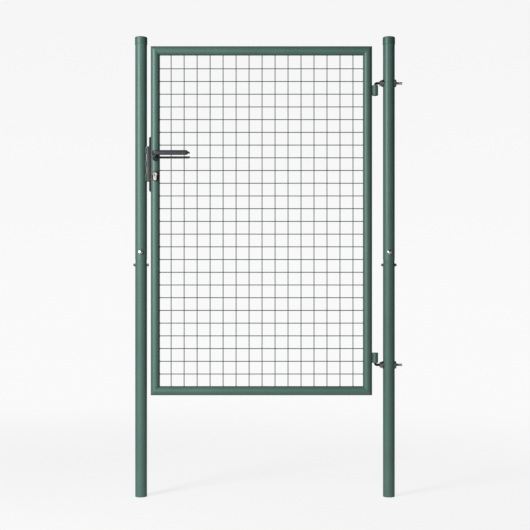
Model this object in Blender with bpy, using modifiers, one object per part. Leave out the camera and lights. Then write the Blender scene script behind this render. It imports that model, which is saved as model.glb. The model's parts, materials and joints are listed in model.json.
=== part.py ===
"""Single-leaf welded-mesh gate hung between two round posts. Metres, +Z up.

The gate lies in the plane y = 0, the front is towards -Y, and the origin is on the
ground under the middle of the whole object.
"""
import math

import bmesh
import bpy
from mathutils import Matrix, Vector

# ---------------------------------------------------------------- driving dimensions
GAP = 0.0003                      # between pieces that touch

POST_SPACING = 0.954              # between the two post axes
POST_HEIGHT = 1.769               # foot to cap top
POST_RADIUS = 0.0225
POST_WALL = 0.0015
POST_JOINT_Z = 0.898              # where the lower and upper tubes meet
SLEEVE_LENGTH = 0.140
SLEEVE_WALL = 0.0020
CAP_HEIGHT = 0.030
CAP_WALL = 0.0008
CAP_TOP = 0.0015
CAP_ROUND = 0.005

THROUGH_BOLT_RISE = 0.042         # front-to-back bolt above the joint
THROUGH_BOLT_RADIUS = 0.005
THROUGH_HEAD_RADIUS = 0.0090
THROUGH_HEAD_HEIGHT = 0.0055
CROSS_BOLT_DROP = 0.007           # left-to-right bolt below the joint
CROSS_BOLT_RADIUS = 0.003
CROSS_HEAD_RADIUS = 0.0055
CROSS_HEAD_HEIGHT = 0.0065
HEAD_LIFT = 0.0010                # a flat head's rim off the round tube
NUT_THICKNESS = 0.0060
THREAD_END = 0.0008               # bolt end past its nut
HOLE_CLEARANCE = 0.0005           # radial, round every bolt and pin

LATCH_GAP = 0.0148                # latch post to gate
GROUND_CLEARANCE = 0.3894         # ground to gate
TOP_DROP = 0.0361                 # cap top to gate top
FRAME_RADIUS = 0.0175
FRAME_WALL = 0.0015
WIRE = 0.0033
WIRE_PITCH_X = 0.050
WIRE_PITCH_Z = 0.049
MESH_SHIFT_X = 0.0024
MESH_SHIFT_Z = -0.0022

PIN_TO_POST = 0.0305              # hinge axis to the post's surface
BARREL_RADIUS = 0.0115
BARREL_HEIGHT = 0.039
HOOK_RADIUS = 0.005
HOOK_BEND = 0.0075                # centre-line bend radius
HOOK_RISE = 0.0078                # barrel end to the rod's axis
HOOK_TAIL = 0.0515                # post axis to the rod's end
UPPER_HINGE_DROP = 0.1698         # gate top to the upper barrel's middle
LOWER_HINGE_RISE = 0.1444         # gate bottom to the lower barrel's middle
SADDLE_RADIUS = 0.0145
SADDLE_THICKNESS = 0.0032         # over the post's surface
WASHER_RADIUS = 0.0138
WASHER_THICKNESS = 0.0022
HINGE_NUT_RADIUS = 0.0110         # across corners
HINGE_NUT_THICKNESS = 0.0068
SADDLE_NUT_THICKNESS = 0.0064
PIN_SHORT = 0.002                 # pin end inside the barrel's far end

LOCK_OFFSET = 0.0021              # lock axis from the stile's axis
SPINDLE_Z = 1.309
CENTRES = 0.072                   # lever spindle to key plug
SPINDLE = 0.008                   # square
SPINDLE_HALF = 0.046
SPINDLE_HOLE = SPINDLE * 0.78      # radius round the turning square
FACEPLATE_FRONT = 0.0061          # proud of the stile
FACEPLATE_LAP = 0.0013            # wraps past the stile's edge
FACEPLATE_WIDTH = 0.019
FACEPLATE_HEIGHT = 0.211
FACEPLATE_MIDDLE_Z = 1.2781
FACEPLATE_CHAMFER = 0.0045
FACEPLATE_SCREW_INSET = 0.010
FACEPLATE_KNEE = 0.55             # share of its depth that the end slopes take
SCREW_RADIUS = 0.0025
SCREW_HEAD_RADIUS = 0.0045
SCREW_HEAD_DEPTH = 0.0025
SCREW_LENGTH = 0.014
SCREW_SUNK = 0.0002
SINK_DEPTH = 0.003
CASE_HALF = 0.0065                # half the lock case's thickness
CASE_WALL = 0.0010
CASE_CLEARANCE = 0.0008           # to the stile's bore
CASE_TOP_Z = 1.346
CASE_BOTTOM_Z = 1.207
KEEP_CLEARANCE = 0.0008
KEEP_WALL = 0.0025
KEEP_HALF = 0.0130
KEEP_TOP_Z = 1.3467
KEEP_BOTTOM_Z = 1.2127
KEEP_LIP = 0.0063                 # past the faceplate's front face
KEEP_FLANGE = 0.0120              # back towards the post
BOLT_SLOT_ROOM = 0.0008           # beside the bolts in the keep
BOLT_SLOT_RISE = 0.0015           # above and below them
POST_SLOT_ROOM = 0.0015
POST_SLOT_RISE = 0.0030

LATCH_HALF = 0.0045
LATCH_HEIGHT = 0.016
LATCH_RISE = 0.021                # above the spindle
LATCH_THROW = 0.008
LATCH_BODY = 0.0192
LATCH_SLOPE = 0.006
LATCH_NOSE = 0.002                # flat left at the tip
LATCH_LAP = 0.002                 # of stem and lug into each other and the head
STEM_WIDTH = 0.005
STEM_HEIGHT = 0.0045
LUG_LENGTH = 0.003
LUG_WIDTH = 0.0048
FINGER_REACH = 0.0133
FINGER_WIDTH = 0.004
FINGER_LEAN = math.radians(17.5)
LUG_RISE = 0.0115                 # lug's lower edge above the spindle
HUB_RADIUS = 0.009
HUB_HALF = 0.005
BOLT_HALF = 0.004
BOLT_HEIGHT = 0.020
BOLT_RISE = 0.029                 # above the key plug
BOLT_LENGTH = 0.030
BOLT_INSET = 0.0005               # behind the faceplate's face
SPRING_RADIUS = 0.0030
SPRING_WIRE = 0.0005
SPRING_TURNS = 6
SPRING_RISE = 0.0245

EURO_RADIUS = 0.0085
EURO_STEM = 0.0125
EURO_DROP = 0.0235                # plug axis to the profile's lower end
EURO_HALF = 0.034
PLUG_RADIUS = 0.0065
KEYWAY_WIDTH = 0.0022
KEYWAY_HEIGHT = 0.0082
KEYWAY_DEPTH = 0.010
KEYWAY_DROP = 0.0015
CAM_RADIUS = 0.0146
CAM_HALF = 0.005
CAM_FINGER = 0.007
CAM_SHOULDER = 0.88               # share of the radius where the finger narrows
CAM_TIP = 0.97
CAM_ROOM_ABOVE = 0.02             # open above the plug's axis
BRIDGE_TOP = 0.0156
FIXING_SCREW_DROP = 0.0195

LEVER_CENTRE_Y = 0.077            # grip's middle from the gate plane
LEVER_RAISE = 0.0055              # grip above the spindle
FRONT_LEVER_REACH = 0.1305        # spindle to the grip's end
REAR_LEVER_REACH = 0.1210
LEVER_DEPTH = 0.015
LEVER_BEVEL = 0.28                # share of the grip's smaller side
FRONT_GRIP_HEIGHT = 0.0175
REAR_GRIP_HEIGHT = 0.0075
NECK_RADIUS = 0.0085
RETURN_REACH = 0.0045             # turned-back tip past the grip
RETURN_LAP = 0.010
RETURN_DEPTH = 0.020
RETURN_HEIGHT = 0.0070
ROSETTE_Y = 0.0235                # outer face from the gate plane
LEVER_ROSETTE_WIDTH = 0.021
LEVER_ROSETTE_HEIGHT = 0.040
KEY_ROSETTE_WIDTH = 0.0255
KEY_ROSETTE_HEIGHT = 0.0385
KEY_ROSETTE_DROP = 0.0060         # its middle below the plug's axis

TUBE_SIDES = 24
ROD_SIDES = 16
SCREW_SIDES = 12

# ---------------------------------------------------------------- places that follow
LEFT_REACH = POST_SPACING / 2 + POST_RADIUS + GAP + CROSS_HEAD_HEIGHT + HEAD_LIFT
RIGHT_REACH = POST_SPACING / 2 + HOOK_TAIL
X_SHIFT = (LEFT_REACH - RIGHT_REACH) / 2
LEFT_POST_X = X_SHIFT - POST_SPACING / 2
RIGHT_POST_X = X_SHIFT + POST_SPACING / 2
GATE_LEFT = LEFT_POST_X + POST_RADIUS + LATCH_GAP
HINGE_X = RIGHT_POST_X - POST_RADIUS - PIN_TO_POST
HINGE_STILE_X = HINGE_X - BARREL_RADIUS - GAP - FRAME_RADIUS
LOCK_STILE_X = GATE_LEFT + FRAME_RADIUS
GATE_BOTTOM = GROUND_CLEARANCE
GATE_TOP = POST_HEIGHT - TOP_DROP
BOTTOM_RAIL_Z = GATE_BOTTOM + FRAME_RADIUS
TOP_RAIL_Z = GATE_TOP - FRAME_RADIUS
UPPER_BARREL_Z = GATE_TOP - UPPER_HINGE_DROP
LOWER_BARREL_Z = GATE_BOTTOM + LOWER_HINGE_RISE
TUBE_TOP_Z = POST_HEIGHT - CAP_TOP - GAP
POST_BORE = POST_RADIUS - POST_WALL
SLEEVE_RADIUS = POST_BORE - GAP
LOCK_X = LOCK_STILE_X + LOCK_OFFSET
PLUG_Z = SPINDLE_Z - CENTRES
FACE_X = GATE_LEFT - FACEPLATE_FRONT
FACE_BACK_X = GATE_LEFT + FACEPLATE_LAP
CASE_LEFT = LOCK_STILE_X - math.sqrt((FRAME_RADIUS + GAP) ** 2 - CASE_HALF ** 2) + GAP
CASE_RIGHT = LOCK_STILE_X + math.sqrt((FRAME_RADIUS - FRAME_WALL - CASE_CLEARANCE) ** 2 - CASE_HALF ** 2)
LATCH_Z = SPINDLE_Z + LATCH_RISE
BOLT_Z = PLUG_Z + BOLT_RISE
KEEP_X = FACE_X - KEEP_CLEARANCE

# ---------------------------------------------------------------- scene and materials
for old in list(bpy.data.objects):
    bpy.data.objects.remove(old)


def collection(name):
    made = bpy.data.collections.new(name)
    bpy.context.scene.collection.children.link(made)
    return made


PARTS = collection("mesh_garden_gate")
CUTTERS = collection("gate_cutters")


def material(name, colour, metallic, roughness):
    made = bpy.data.materials.new(name)
    made.use_nodes = True
    shader = made.node_tree.nodes["Principled BSDF"]
    shader.inputs["Base Color"].default_value = (*colour, 1.0)
    shader.inputs["Metallic"].default_value = metallic
    shader.inputs["Roughness"].default_value = roughness
    return made


GREEN = material("green_powder_coat", (0.085, 0.185, 0.145), 0.0, 0.38)
ZINC = material("zinc_plate", (0.62, 0.63, 0.62), 1.0, 0.32)
NICKEL = material("nickel_plate", (0.72, 0.69, 0.63), 1.0, 0.28)
BLACK = material("black_coat", (0.022, 0.023, 0.026), 0.0, 0.42)
STEEL = material("bare_steel", (0.45, 0.45, 0.46), 1.0, 0.40)
GREY = material("keep_paint", (0.075, 0.072, 0.070), 0.2, 0.45)

# Local z turned onto each world axis; FACING_ keeps an outline upright.
ALONG_X = Matrix.Rotation(math.pi / 2, 4, "Y")
ALONG_Y = Matrix.Rotation(-math.pi / 2, 4, "X")
ALONG_Z = Matrix.Identity(4)
FACING_Y = Matrix.Rotation(math.pi / 2, 4, "X")
FACING_X = Matrix(((0, 0, 1, 0), (1, 0, 0, 0), (0, 1, 0, 0), (0, 0, 0, 1)))
FACING_MINUS_X = Matrix.Rotation(-math.pi / 2, 4, "Y")


def at(x, y, z, turn=ALONG_Z):
    return Matrix.Translation((x, y, z)) @ turn


def pivot(name, x, y, z, parent=None):
    empty = bpy.data.objects.new(name, None)
    empty.empty_display_size = 0.03
    PARTS.objects.link(empty)
    hang(empty, at(x, y, z), parent)
    empty["place"] = (x, y, z)
    return empty


def hang(obj, matrix, parent):
    obj.matrix_basis = matrix
    if parent:
        obj.parent = parent
        obj.matrix_parent_inverse = Matrix.Translation(-Vector(parent["place"]))


GATE_PIVOT = pivot("gate_pivot", HINGE_X, 0, LOWER_BARREL_Z)
LEVER_PIVOT = pivot("lever_pivot", LOCK_X, 0, SPINDLE_Z, GATE_PIVOT)
PLUG_PIVOT = pivot("plug_pivot", LOCK_X, 0, PLUG_Z, GATE_PIVOT)
LATCH_PIVOT = pivot("latch_pivot", FACE_X, 0, LATCH_Z, GATE_PIVOT)
BOLT_PIVOT = pivot("deadbolt_pivot", FACE_X, 0, BOLT_Z, GATE_PIVOT)


# ---------------------------------------------------------------- shape builders
def to_mesh(bm):
    bmesh.ops.recalc_face_normals(bm, faces=bm.faces)
    mesh = bpy.data.meshes.new("shape")
    bm.to_mesh(mesh)
    bm.free()
    return mesh


def rod(radius, length, sides=ROD_SIDES):
    bm = bmesh.new()
    bmesh.ops.create_cone(bm, cap_ends=True, segments=sides, radius1=radius, radius2=radius, depth=length)
    return to_mesh(bm)


def box(size_x, size_y, size_z):
    bm = bmesh.new()
    bmesh.ops.create_cube(bm, size=1.0)
    bmesh.ops.scale(bm, vec=(size_x, size_y, size_z), verts=bm.verts)
    return to_mesh(bm)


def raise_faces(bm, height):
    """Turns a flat region into a solid centred on z = 0."""
    moved = bmesh.ops.extrude_face_region(bm, geom=bm.faces[:])["geom"]
    top = [item for item in moved if isinstance(item, bmesh.types.BMVert)]
    bmesh.ops.translate(bm, vec=(0, 0, height), verts=top)
    bmesh.ops.translate(bm, vec=(0, 0, -height / 2), verts=bm.verts)


def pipe(outer, inner, length, sides=TUBE_SIDES):
    bm = bmesh.new()
    for radius in (outer, inner):
        bmesh.ops.create_circle(bm, cap_ends=False, segments=sides, radius=radius)
    bmesh.ops.bridge_loops(bm, edges=bm.edges[:])
    raise_faces(bm, length)
    return to_mesh(bm)


def mitred_pipe(outer, inner, length, sides=TUBE_SIDES):
    """A pipe whose ends are cut at 45 degrees, longest on its local +x side."""
    mesh = pipe(outer, inner, length - 2 * GAP / math.sqrt(2), sides)
    for vertex in mesh.vertices:
        vertex.co.z += vertex.co.x * math.copysign(1, vertex.co.z)
    return mesh


def oval(width, height, thickness, sides=ROD_SIDES):
    """An upright plate with half-round ends, in local x and y."""
    bm = bmesh.new()
    bmesh.ops.create_circle(bm, cap_ends=True, segments=sides, radius=width / 2)
    stretch = (height - width) / 2
    for vertex in bm.verts:
        if abs(vertex.co.y) > 1e-6:
            vertex.co.y += math.copysign(stretch, vertex.co.y)
    raise_faces(bm, thickness)
    return to_mesh(bm)


def outline(points, thickness):
    """A flat outline of (x, y) points, filled and given a thickness."""
    curve = bpy.data.curves.new("outline", "CURVE")
    curve.dimensions = "2D"
    curve.fill_mode = "BOTH"
    curve.extrude = thickness / 2
    spline = curve.splines.new("POLY")
    spline.points.add(len(points) - 1)
    for point, (x, y) in zip(spline.points, points):
        point.co = (x, y, 0, 1)
    spline.use_cyclic_u = True
    return mesh_from_curve(curve)


def swept(points, radius, resolution):
    """A round rod along a path of points."""
    curve = bpy.data.curves.new("path", "CURVE")
    curve.dimensions = "3D"
    curve.bevel_depth = radius
    curve.bevel_resolution = resolution
    curve.use_fill_caps = True
    spline = curve.splines.new("POLY")
    spline.points.add(len(points) - 1)
    for point, place in zip(spline.points, points):
        point.co = (*place, 1)
    return mesh_from_curve(curve)


def mesh_from_curve(curve):
    holder = bpy.data.objects.new("curve", curve)
    bpy.context.scene.collection.objects.link(holder)
    depsgraph = bpy.context.evaluated_depsgraph_get()
    mesh = bpy.data.meshes.new_from_object(holder.evaluated_get(depsgraph))
    bpy.data.objects.remove(holder)
    bm = bmesh.new()
    bm.from_mesh(mesh)
    bmesh.ops.remove_doubles(bm, verts=bm.verts, dist=1e-6)
    bmesh.ops.dissolve_limit(bm, angle_limit=1e-4, verts=bm.verts, edges=bm.edges)
    return to_mesh(bm)


def arc(centre, radius, start, end, count):
    """Points on an arc, angles in degrees from local +x."""
    turns = [math.radians(start + (end - start) * step / count) for step in range(count + 1)]
    return [(centre[0] + radius * math.cos(turn), centre[1] + radius * math.sin(turn)) for turn in turns]


def add(name, mesh, matrix, finish, parent=None):
    mesh.name = name
    mesh.materials.clear()
    mesh.materials.append(finish)
    mesh.shade_smooth()
    mesh.set_sharp_from_angle(angle=math.radians(35))
    obj = bpy.data.objects.new(name, mesh)
    PARTS.objects.link(obj)
    hang(obj, matrix, parent)
    return obj


def turned(name, profile, matrix, finish, sides=ROD_SIDES, closed=False, parent=None):
    """A profile of (radius, height) points, top to bottom on its outer side, turned about local z."""
    mesh = bpy.data.meshes.new(name)
    edges = [(step, step + 1) for step in range(len(profile) - 1)]
    if closed:
        edges.append((len(profile) - 1, 0))
    mesh.from_pydata([(radius, 0, height) for radius, height in profile], edges, [])
    obj = add(name, mesh, matrix, finish, parent)
    screw = obj.modifiers.new("turn", "SCREW")
    screw.steps = sides
    screw.render_steps = sides
    screw.use_merge_vertices = True
    screw.merge_threshold = 0.00001
    screw.use_normal_calculate = False
    return obj


def boolean(obj, other, operation):
    modifier = obj.modifiers.new(other.name, "BOOLEAN")
    modifier.operation = operation
    modifier.object = other
    modifier.solver = "EXACT"


def cutter(name, mesh, matrix):
    obj = bpy.data.objects.new("cutter_" + name, mesh)
    obj.matrix_basis = matrix
    obj.hide_render = True
    obj.display_type = "WIRE"
    CUTTERS.objects.link(obj)
    return obj


def cut(obj, *tools):
    for tool in tools:
        boolean(obj, tool, "DIFFERENCE")


def join(obj, *pieces):
    for piece in pieces:
        boolean(obj, piece, "UNION")


# ---------------------------------------------------------------- posts
def dome_head(radius, height, shank, length):
    """Profile of a domed screw: head above z = 0, shank below."""
    dome = [(radius * math.sin(turn), height * math.cos(turn))
            for turn in (math.pi / 2 * step / 4 for step in range(5))]
    return dome + [(shank, 0), (shank, -length), (0, -length)]


def hex_nut(name, corner_radius, thickness, hole, matrix, finish):
    nut = add(name, rod(corner_radius, thickness, 6), matrix, finish)
    cut(nut, cutter(name + "_hole", rod(hole, thickness * 3), matrix))
    return nut


def bolt_pair(prefix, x, z, turn, radius, head_radius, head_height):
    """A domed bolt through a post and its nut; local +z is the head's side."""
    grip = POST_RADIUS + GAP
    out = turn @ Vector((0, 0, 1))
    shank = 2 * grip + NUT_THICKNESS + GAP + THREAD_END
    head = Vector((x, 0, z)) + out * (grip + HEAD_LIFT)
    turned(prefix + "_bolt", dome_head(head_radius, head_height, radius, shank + HEAD_LIFT),
           at(*head, turn), ZINC)
    nut_at = Vector((x, 0, z)) - out * (grip + GAP + NUT_THICKNESS / 2)
    hex_nut(prefix + "_nut", head_radius, NUT_THICKNESS, radius + GAP, at(*nut_at, turn), ZINC)


def make_post(side, x):
    through_z = POST_JOINT_Z + THROUGH_BOLT_RISE
    cross_z = POST_JOINT_Z - CROSS_BOLT_DROP
    through_hole = cutter(side + "_through_bolt",
                          rod(THROUGH_BOLT_RADIUS + HOLE_CLEARANCE, 4 * POST_RADIUS),
                          at(x, 0, through_z, ALONG_Y))
    cross_hole = cutter(side + "_cross_bolt",
                        rod(CROSS_BOLT_RADIUS + HOLE_CLEARANCE, 4 * POST_RADIUS),
                        at(x, 0, cross_z, ALONG_X))

    lower_length = POST_JOINT_Z - GAP / 2
    lower = add(side + "_post_lower_tube", pipe(POST_RADIUS, POST_BORE, lower_length),
                at(x, 0, lower_length / 2), GREEN)
    cut(lower, cross_hole)
    upper_length = TUBE_TOP_Z - POST_JOINT_Z - GAP / 2
    upper = add(side + "_post_upper_tube", pipe(POST_RADIUS, POST_BORE, upper_length),
                at(x, 0, TUBE_TOP_Z - upper_length / 2), GREEN)
    cut(upper, through_hole)
    sleeve = add(side + "_post_sleeve", pipe(SLEEVE_RADIUS, SLEEVE_RADIUS - SLEEVE_WALL, SLEEVE_LENGTH),
                 at(x, 0, POST_JOINT_Z), STEEL)
    cut(sleeve, through_hole, cross_hole)

    bolt_pair(side + "_post_through", x, through_z, FACING_Y,
              THROUGH_BOLT_RADIUS, THROUGH_HEAD_RADIUS, THROUGH_HEAD_HEIGHT)
    bolt_pair(side + "_post_cross", x, cross_z, FACING_MINUS_X,
              CROSS_BOLT_RADIUS, CROSS_HEAD_RADIUS, CROSS_HEAD_HEIGHT)

    inner = POST_RADIUS + GAP
    outer = inner + CAP_WALL
    shoulder = arc((outer - CAP_ROUND, -CAP_ROUND), CAP_ROUND, 90, 0, 4)
    profile = [(0, 0)] + shoulder + [(outer, -CAP_HEIGHT), (inner, -CAP_HEIGHT),
                                     (inner, -CAP_TOP), (0, -CAP_TOP)]
    turned(side + "_post_cap", profile, at(x, 0, POST_HEIGHT), GREEN, TUBE_SIDES)
    return upper, lower


# ---------------------------------------------------------------- hinges
def make_hinge(name, post_tube, barrel_z, up):
    """up is +1 where the rod passes above the barrel with its pin down, -1 below it."""
    add(name + "_hinge_barrel",
        pipe(BARREL_RADIUS, HOOK_RADIUS + HOLE_CLEARANCE, BARREL_HEIGHT, ROD_SIDES),
        at(HINGE_X, 0, barrel_z), GREEN, GATE_PIVOT)
    rod_z = barrel_z + up * (BARREL_HEIGHT / 2 + HOOK_RISE)
    pin_end = barrel_z - up * (BARREL_HEIGHT / 2 - PIN_SHORT)
    tail = RIGHT_POST_X + HOOK_TAIL
    bend = [(HINGE_X + HOOK_BEND - HOOK_BEND * math.cos(turn), 0,
             rod_z - up * HOOK_BEND + up * HOOK_BEND * math.sin(turn))
            for turn in (math.pi / 2 * step / 5 for step in range(6))]
    add(name + "_hinge_hook", swept([(HINGE_X, 0, pin_end)] + bend + [(tail, 0, rod_z)], HOOK_RADIUS, 4),
        ALONG_Z, ZINC)

    hole = rod(HOOK_RADIUS + HOLE_CLEARANCE, 4 * POST_RADIUS)
    cut(post_tube, cutter(name + "_hook_hole", hole, at(RIGHT_POST_X, 0, rod_z, ALONG_X)))
    post_hollow = cutter(name + "_saddle_seat",
                         rod(POST_RADIUS + GAP, 4 * SADDLE_RADIUS, TUBE_SIDES),
                         at(RIGHT_POST_X, 0, rod_z))
    rod_hole = cutter(name + "_fastener_hole", rod(HOOK_RADIUS + GAP, 8 * POST_RADIUS),
                      at(RIGHT_POST_X, 0, rod_z, ALONG_X))

    def saddle(piece, side, thickness):
        flat = POST_RADIUS + thickness
        depth = flat - POST_RADIUS / 2
        middle = RIGHT_POST_X + side * (flat - depth / 2)
        made = add(name + piece, rod(SADDLE_RADIUS, depth, TUBE_SIDES), at(middle, 0, rod_z, ALONG_X), ZINC)
        cut(made, post_hollow, rod_hole)
        return RIGHT_POST_X + side * (flat + GAP)

    saddle("_hinge_saddle_nut", 1, SADDLE_NUT_THICKNESS)
    face = saddle("_hinge_saddle", -1, SADDLE_THICKNESS)
    washer_mesh = pipe(WASHER_RADIUS, HOOK_RADIUS + GAP, WASHER_THICKNESS, ROD_SIDES)
    add(name + "_hinge_washer", washer_mesh, at(face - WASHER_THICKNESS / 2, 0, rod_z, ALONG_X), ZINC)
    nut_x = face - WASHER_THICKNESS - GAP - HINGE_NUT_THICKNESS / 2
    hex_nut(name + "_hinge_nut", HINGE_NUT_RADIUS, HINGE_NUT_THICKNESS, HOOK_RADIUS + GAP,
            at(nut_x, 0, rod_z, ALONG_X), ZINC)


# ---------------------------------------------------------------- gate leaf
def make_frame():
    bore = FRAME_RADIUS - FRAME_WALL
    middle_x = (LOCK_STILE_X + HINGE_STILE_X) / 2
    middle_z = (BOTTOM_RAIL_Z + TOP_RAIL_Z) / 2
    rail_length = HINGE_STILE_X - LOCK_STILE_X
    stile_length = TOP_RAIL_Z - BOTTOM_RAIL_Z
    outward = {"top_rail": -90, "bottom_rail": 90, "lock_stile": 180, "hinge_stile": 0}
    places = {"top_rail": (middle_x, TOP_RAIL_Z), "bottom_rail": (middle_x, BOTTOM_RAIL_Z),
              "lock_stile": (LOCK_STILE_X, middle_z), "hinge_stile": (HINGE_STILE_X, middle_z)}
    made = {}
    for name, degrees in outward.items():
        length = rail_length if name.endswith("rail") else stile_length
        turn = Matrix.Rotation(math.radians(degrees), 4, "Y")
        x, z = places[name]
        made[name] = add(name, mitred_pipe(FRAME_RADIUS, bore, length), at(x, 0, z, turn), GREEN, GATE_PIVOT)
    return made


def make_mesh_panel():
    """Welded grid of square wires whose ends stop at the frame tubes."""
    left = LOCK_STILE_X + FRAME_RADIUS + GAP
    right = HINGE_STILE_X - FRAME_RADIUS - GAP
    bottom = BOTTOM_RAIL_Z + FRAME_RADIUS + GAP
    top = TOP_RAIL_Z - FRAME_RADIUS - GAP

    def wire_edges(low, high, pitch, shift):
        count = int((high - low) / pitch)
        first = (low + high) / 2 + shift - (count - 1) * pitch / 2
        edges = [low]
        for step in range(count):
            middle = first + step * pitch
            edges += [middle - WIRE / 2, middle + WIRE / 2]
        return edges + [high]

    columns = wire_edges(left, right, WIRE_PITCH_X, MESH_SHIFT_X)
    rows = wire_edges(bottom, top, WIRE_PITCH_Z, MESH_SHIFT_Z)
    bm = bmesh.new()
    bmesh.ops.create_grid(bm, x_segments=len(columns) - 1, y_segments=len(rows) - 1, size=1.0)
    for vertex in bm.verts:
        column = round((vertex.co.x + 1) / 2 * (len(columns) - 1))
        row = round((vertex.co.y + 1) / 2 * (len(rows) - 1))
        vertex.co = (columns[column], rows[row], 0)
    openings = []
    for face in bm.faces:
        middle = face.calc_center_median()
        column = max(index for index, edge in enumerate(columns) if edge < middle.x)
        row = max(index for index, edge in enumerate(rows) if edge < middle.y)
        if column % 2 == 0 and row % 2 == 0:
            openings.append(face)
    bmesh.ops.delete(bm, geom=openings, context="FACES")
    raise_faces(bm, WIRE)
    add("mesh_panel", to_mesh(bm), at(0, 0, 0, FACING_Y), GREEN, GATE_PIVOT)


# ---------------------------------------------------------------- lock
def euro_outline(extra=0.0):
    """Round top and narrow round-ended stem, about the plug's axis."""
    radius = EURO_RADIUS + extra
    half = EURO_STEM / 2 + extra
    meet = math.degrees(math.asin(half / radius))
    top = arc((0, 0), radius, -90 + meet, 270 - meet, 14)
    foot = arc((0, -EURO_DROP + EURO_STEM / 2), half, 180, 360, 6)
    return top + foot


def euro_cutter(name, extra):
    return cutter(name, outline(euro_outline(extra), 4 * EURO_HALF), at(LOCK_X, 0, PLUG_Z, FACING_Y))


def plate_screw(name, plate, z, length):
    """A countersunk screw in the faceplate; returns the cutter for its shank."""
    profile = [(0, -SCREW_SUNK), (SCREW_HEAD_RADIUS, -SCREW_SUNK), (SCREW_RADIUS, -SCREW_HEAD_DEPTH),
               (SCREW_RADIUS, -length), (0, -length)]
    turned(name, profile, at(FACE_X, 0, z, FACING_MINUS_X), ZINC, SCREW_SIDES, parent=GATE_PIVOT)
    place = at(FACE_X, 0, z, ALONG_X)
    way = cutter(name + "_way", rod(SCREW_RADIUS + GAP, 2 * (length + 2 * GAP)), place)
    cut(plate, way, cutter(name + "_sink", rod(SCREW_HEAD_RADIUS + GAP, 2 * SINK_DEPTH), place))
    return way


def make_faceplate(stile):
    depth = FACE_BACK_X - FACE_X
    half = FACEPLATE_HEIGHT / 2
    slope = FACEPLATE_CHAMFER
    knee = depth * FACEPLATE_KNEE
    shape = [(0, -half + slope), (knee, -half), (depth, -half),
             (depth, half), (knee, half), (0, half - slope)]
    plate = add("lock_faceplate", outline(shape, FACEPLATE_WIDTH),
                at(FACE_X, 0, FACEPLATE_MIDDLE_Z, FACING_Y), BLACK, GATE_PIVOT)
    stile_room = cutter("faceplate_seat", rod(FRAME_RADIUS + GAP, 2 * FACEPLATE_HEIGHT, TUBE_SIDES),
                        at(LOCK_STILE_X, 0, FACEPLATE_MIDDLE_Z))
    latch_way = cutter("latch_way", box(LATCH_BODY * 2, 2 * (LATCH_HALF + GAP), LATCH_HEIGHT + 2 * GAP),
                       at(FACE_X, 0, LATCH_Z))
    bolt_way = cutter("deadbolt_way", box(BOLT_LENGTH, 2 * (BOLT_HALF + GAP), BOLT_HEIGHT + 2 * GAP),
                      at(FACE_X, 0, BOLT_Z))
    cut(plate, stile_room, latch_way, bolt_way)

    for label, side in (("upper", 1), ("lower", -1)):
        z = FACEPLATE_MIDDLE_Z + side * (half - FACEPLATE_SCREW_INSET)
        cut(stile, plate_screw(label + "_faceplate_screw", plate, z, SCREW_LENGTH))
    fixing_z = PLUG_Z - FIXING_SCREW_DROP
    fixing_way = plate_screw("cylinder_fixing_screw", plate, fixing_z, LOCK_X - FACE_X)
    return latch_way, bolt_way, fixing_way


def make_case(stile, ways):
    """A tray open to the front, its cover plate, and the stile's openings."""
    length = CASE_RIGHT - CASE_LEFT
    height = CASE_TOP_Z - CASE_BOTTOM_Z
    middle_x = (CASE_LEFT + CASE_RIGHT) / 2
    middle_z = (CASE_TOP_Z + CASE_BOTTOM_Z) / 2
    cover_y = -CASE_HALF + CASE_WALL / 2
    tray_front = -CASE_HALF + CASE_WALL + GAP
    tray_depth = CASE_HALF - tray_front
    case = add("lock_case", box(length, tray_depth, height),
               at(middle_x, (CASE_HALF + tray_front) / 2, middle_z), STEEL, GATE_PIVOT)
    room = cutter("case_room", box(length - 2 * CASE_WALL, 2 * tray_depth, height - 2 * CASE_WALL),
                  at(middle_x, CASE_HALF - CASE_WALL - tray_depth, middle_z))
    spindle_hole = cutter("spindle_hole", rod(SPINDLE_HOLE, 0.1), at(LOCK_X, 0, SPINDLE_Z, ALONG_Y))
    euro_hole = euro_cutter("case_euro_hole", GAP)
    cut(case, room, *ways, spindle_hole, euro_hole)
    cover = add("lock_case_cover", box(length, CASE_WALL, height), at(middle_x, cover_y, middle_z),
                STEEL, GATE_PIVOT)
    cut(cover, spindle_hole, euro_hole)

    slot = cutter("case_slot", box(FRAME_RADIUS, 2 * (CASE_HALF + GAP), height + 2 * GAP),
                  at(LOCK_STILE_X - FRAME_RADIUS, 0, middle_z))
    cut(stile, slot, spindle_hole, euro_cutter("stile_euro_hole", 2 * GAP))


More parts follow.
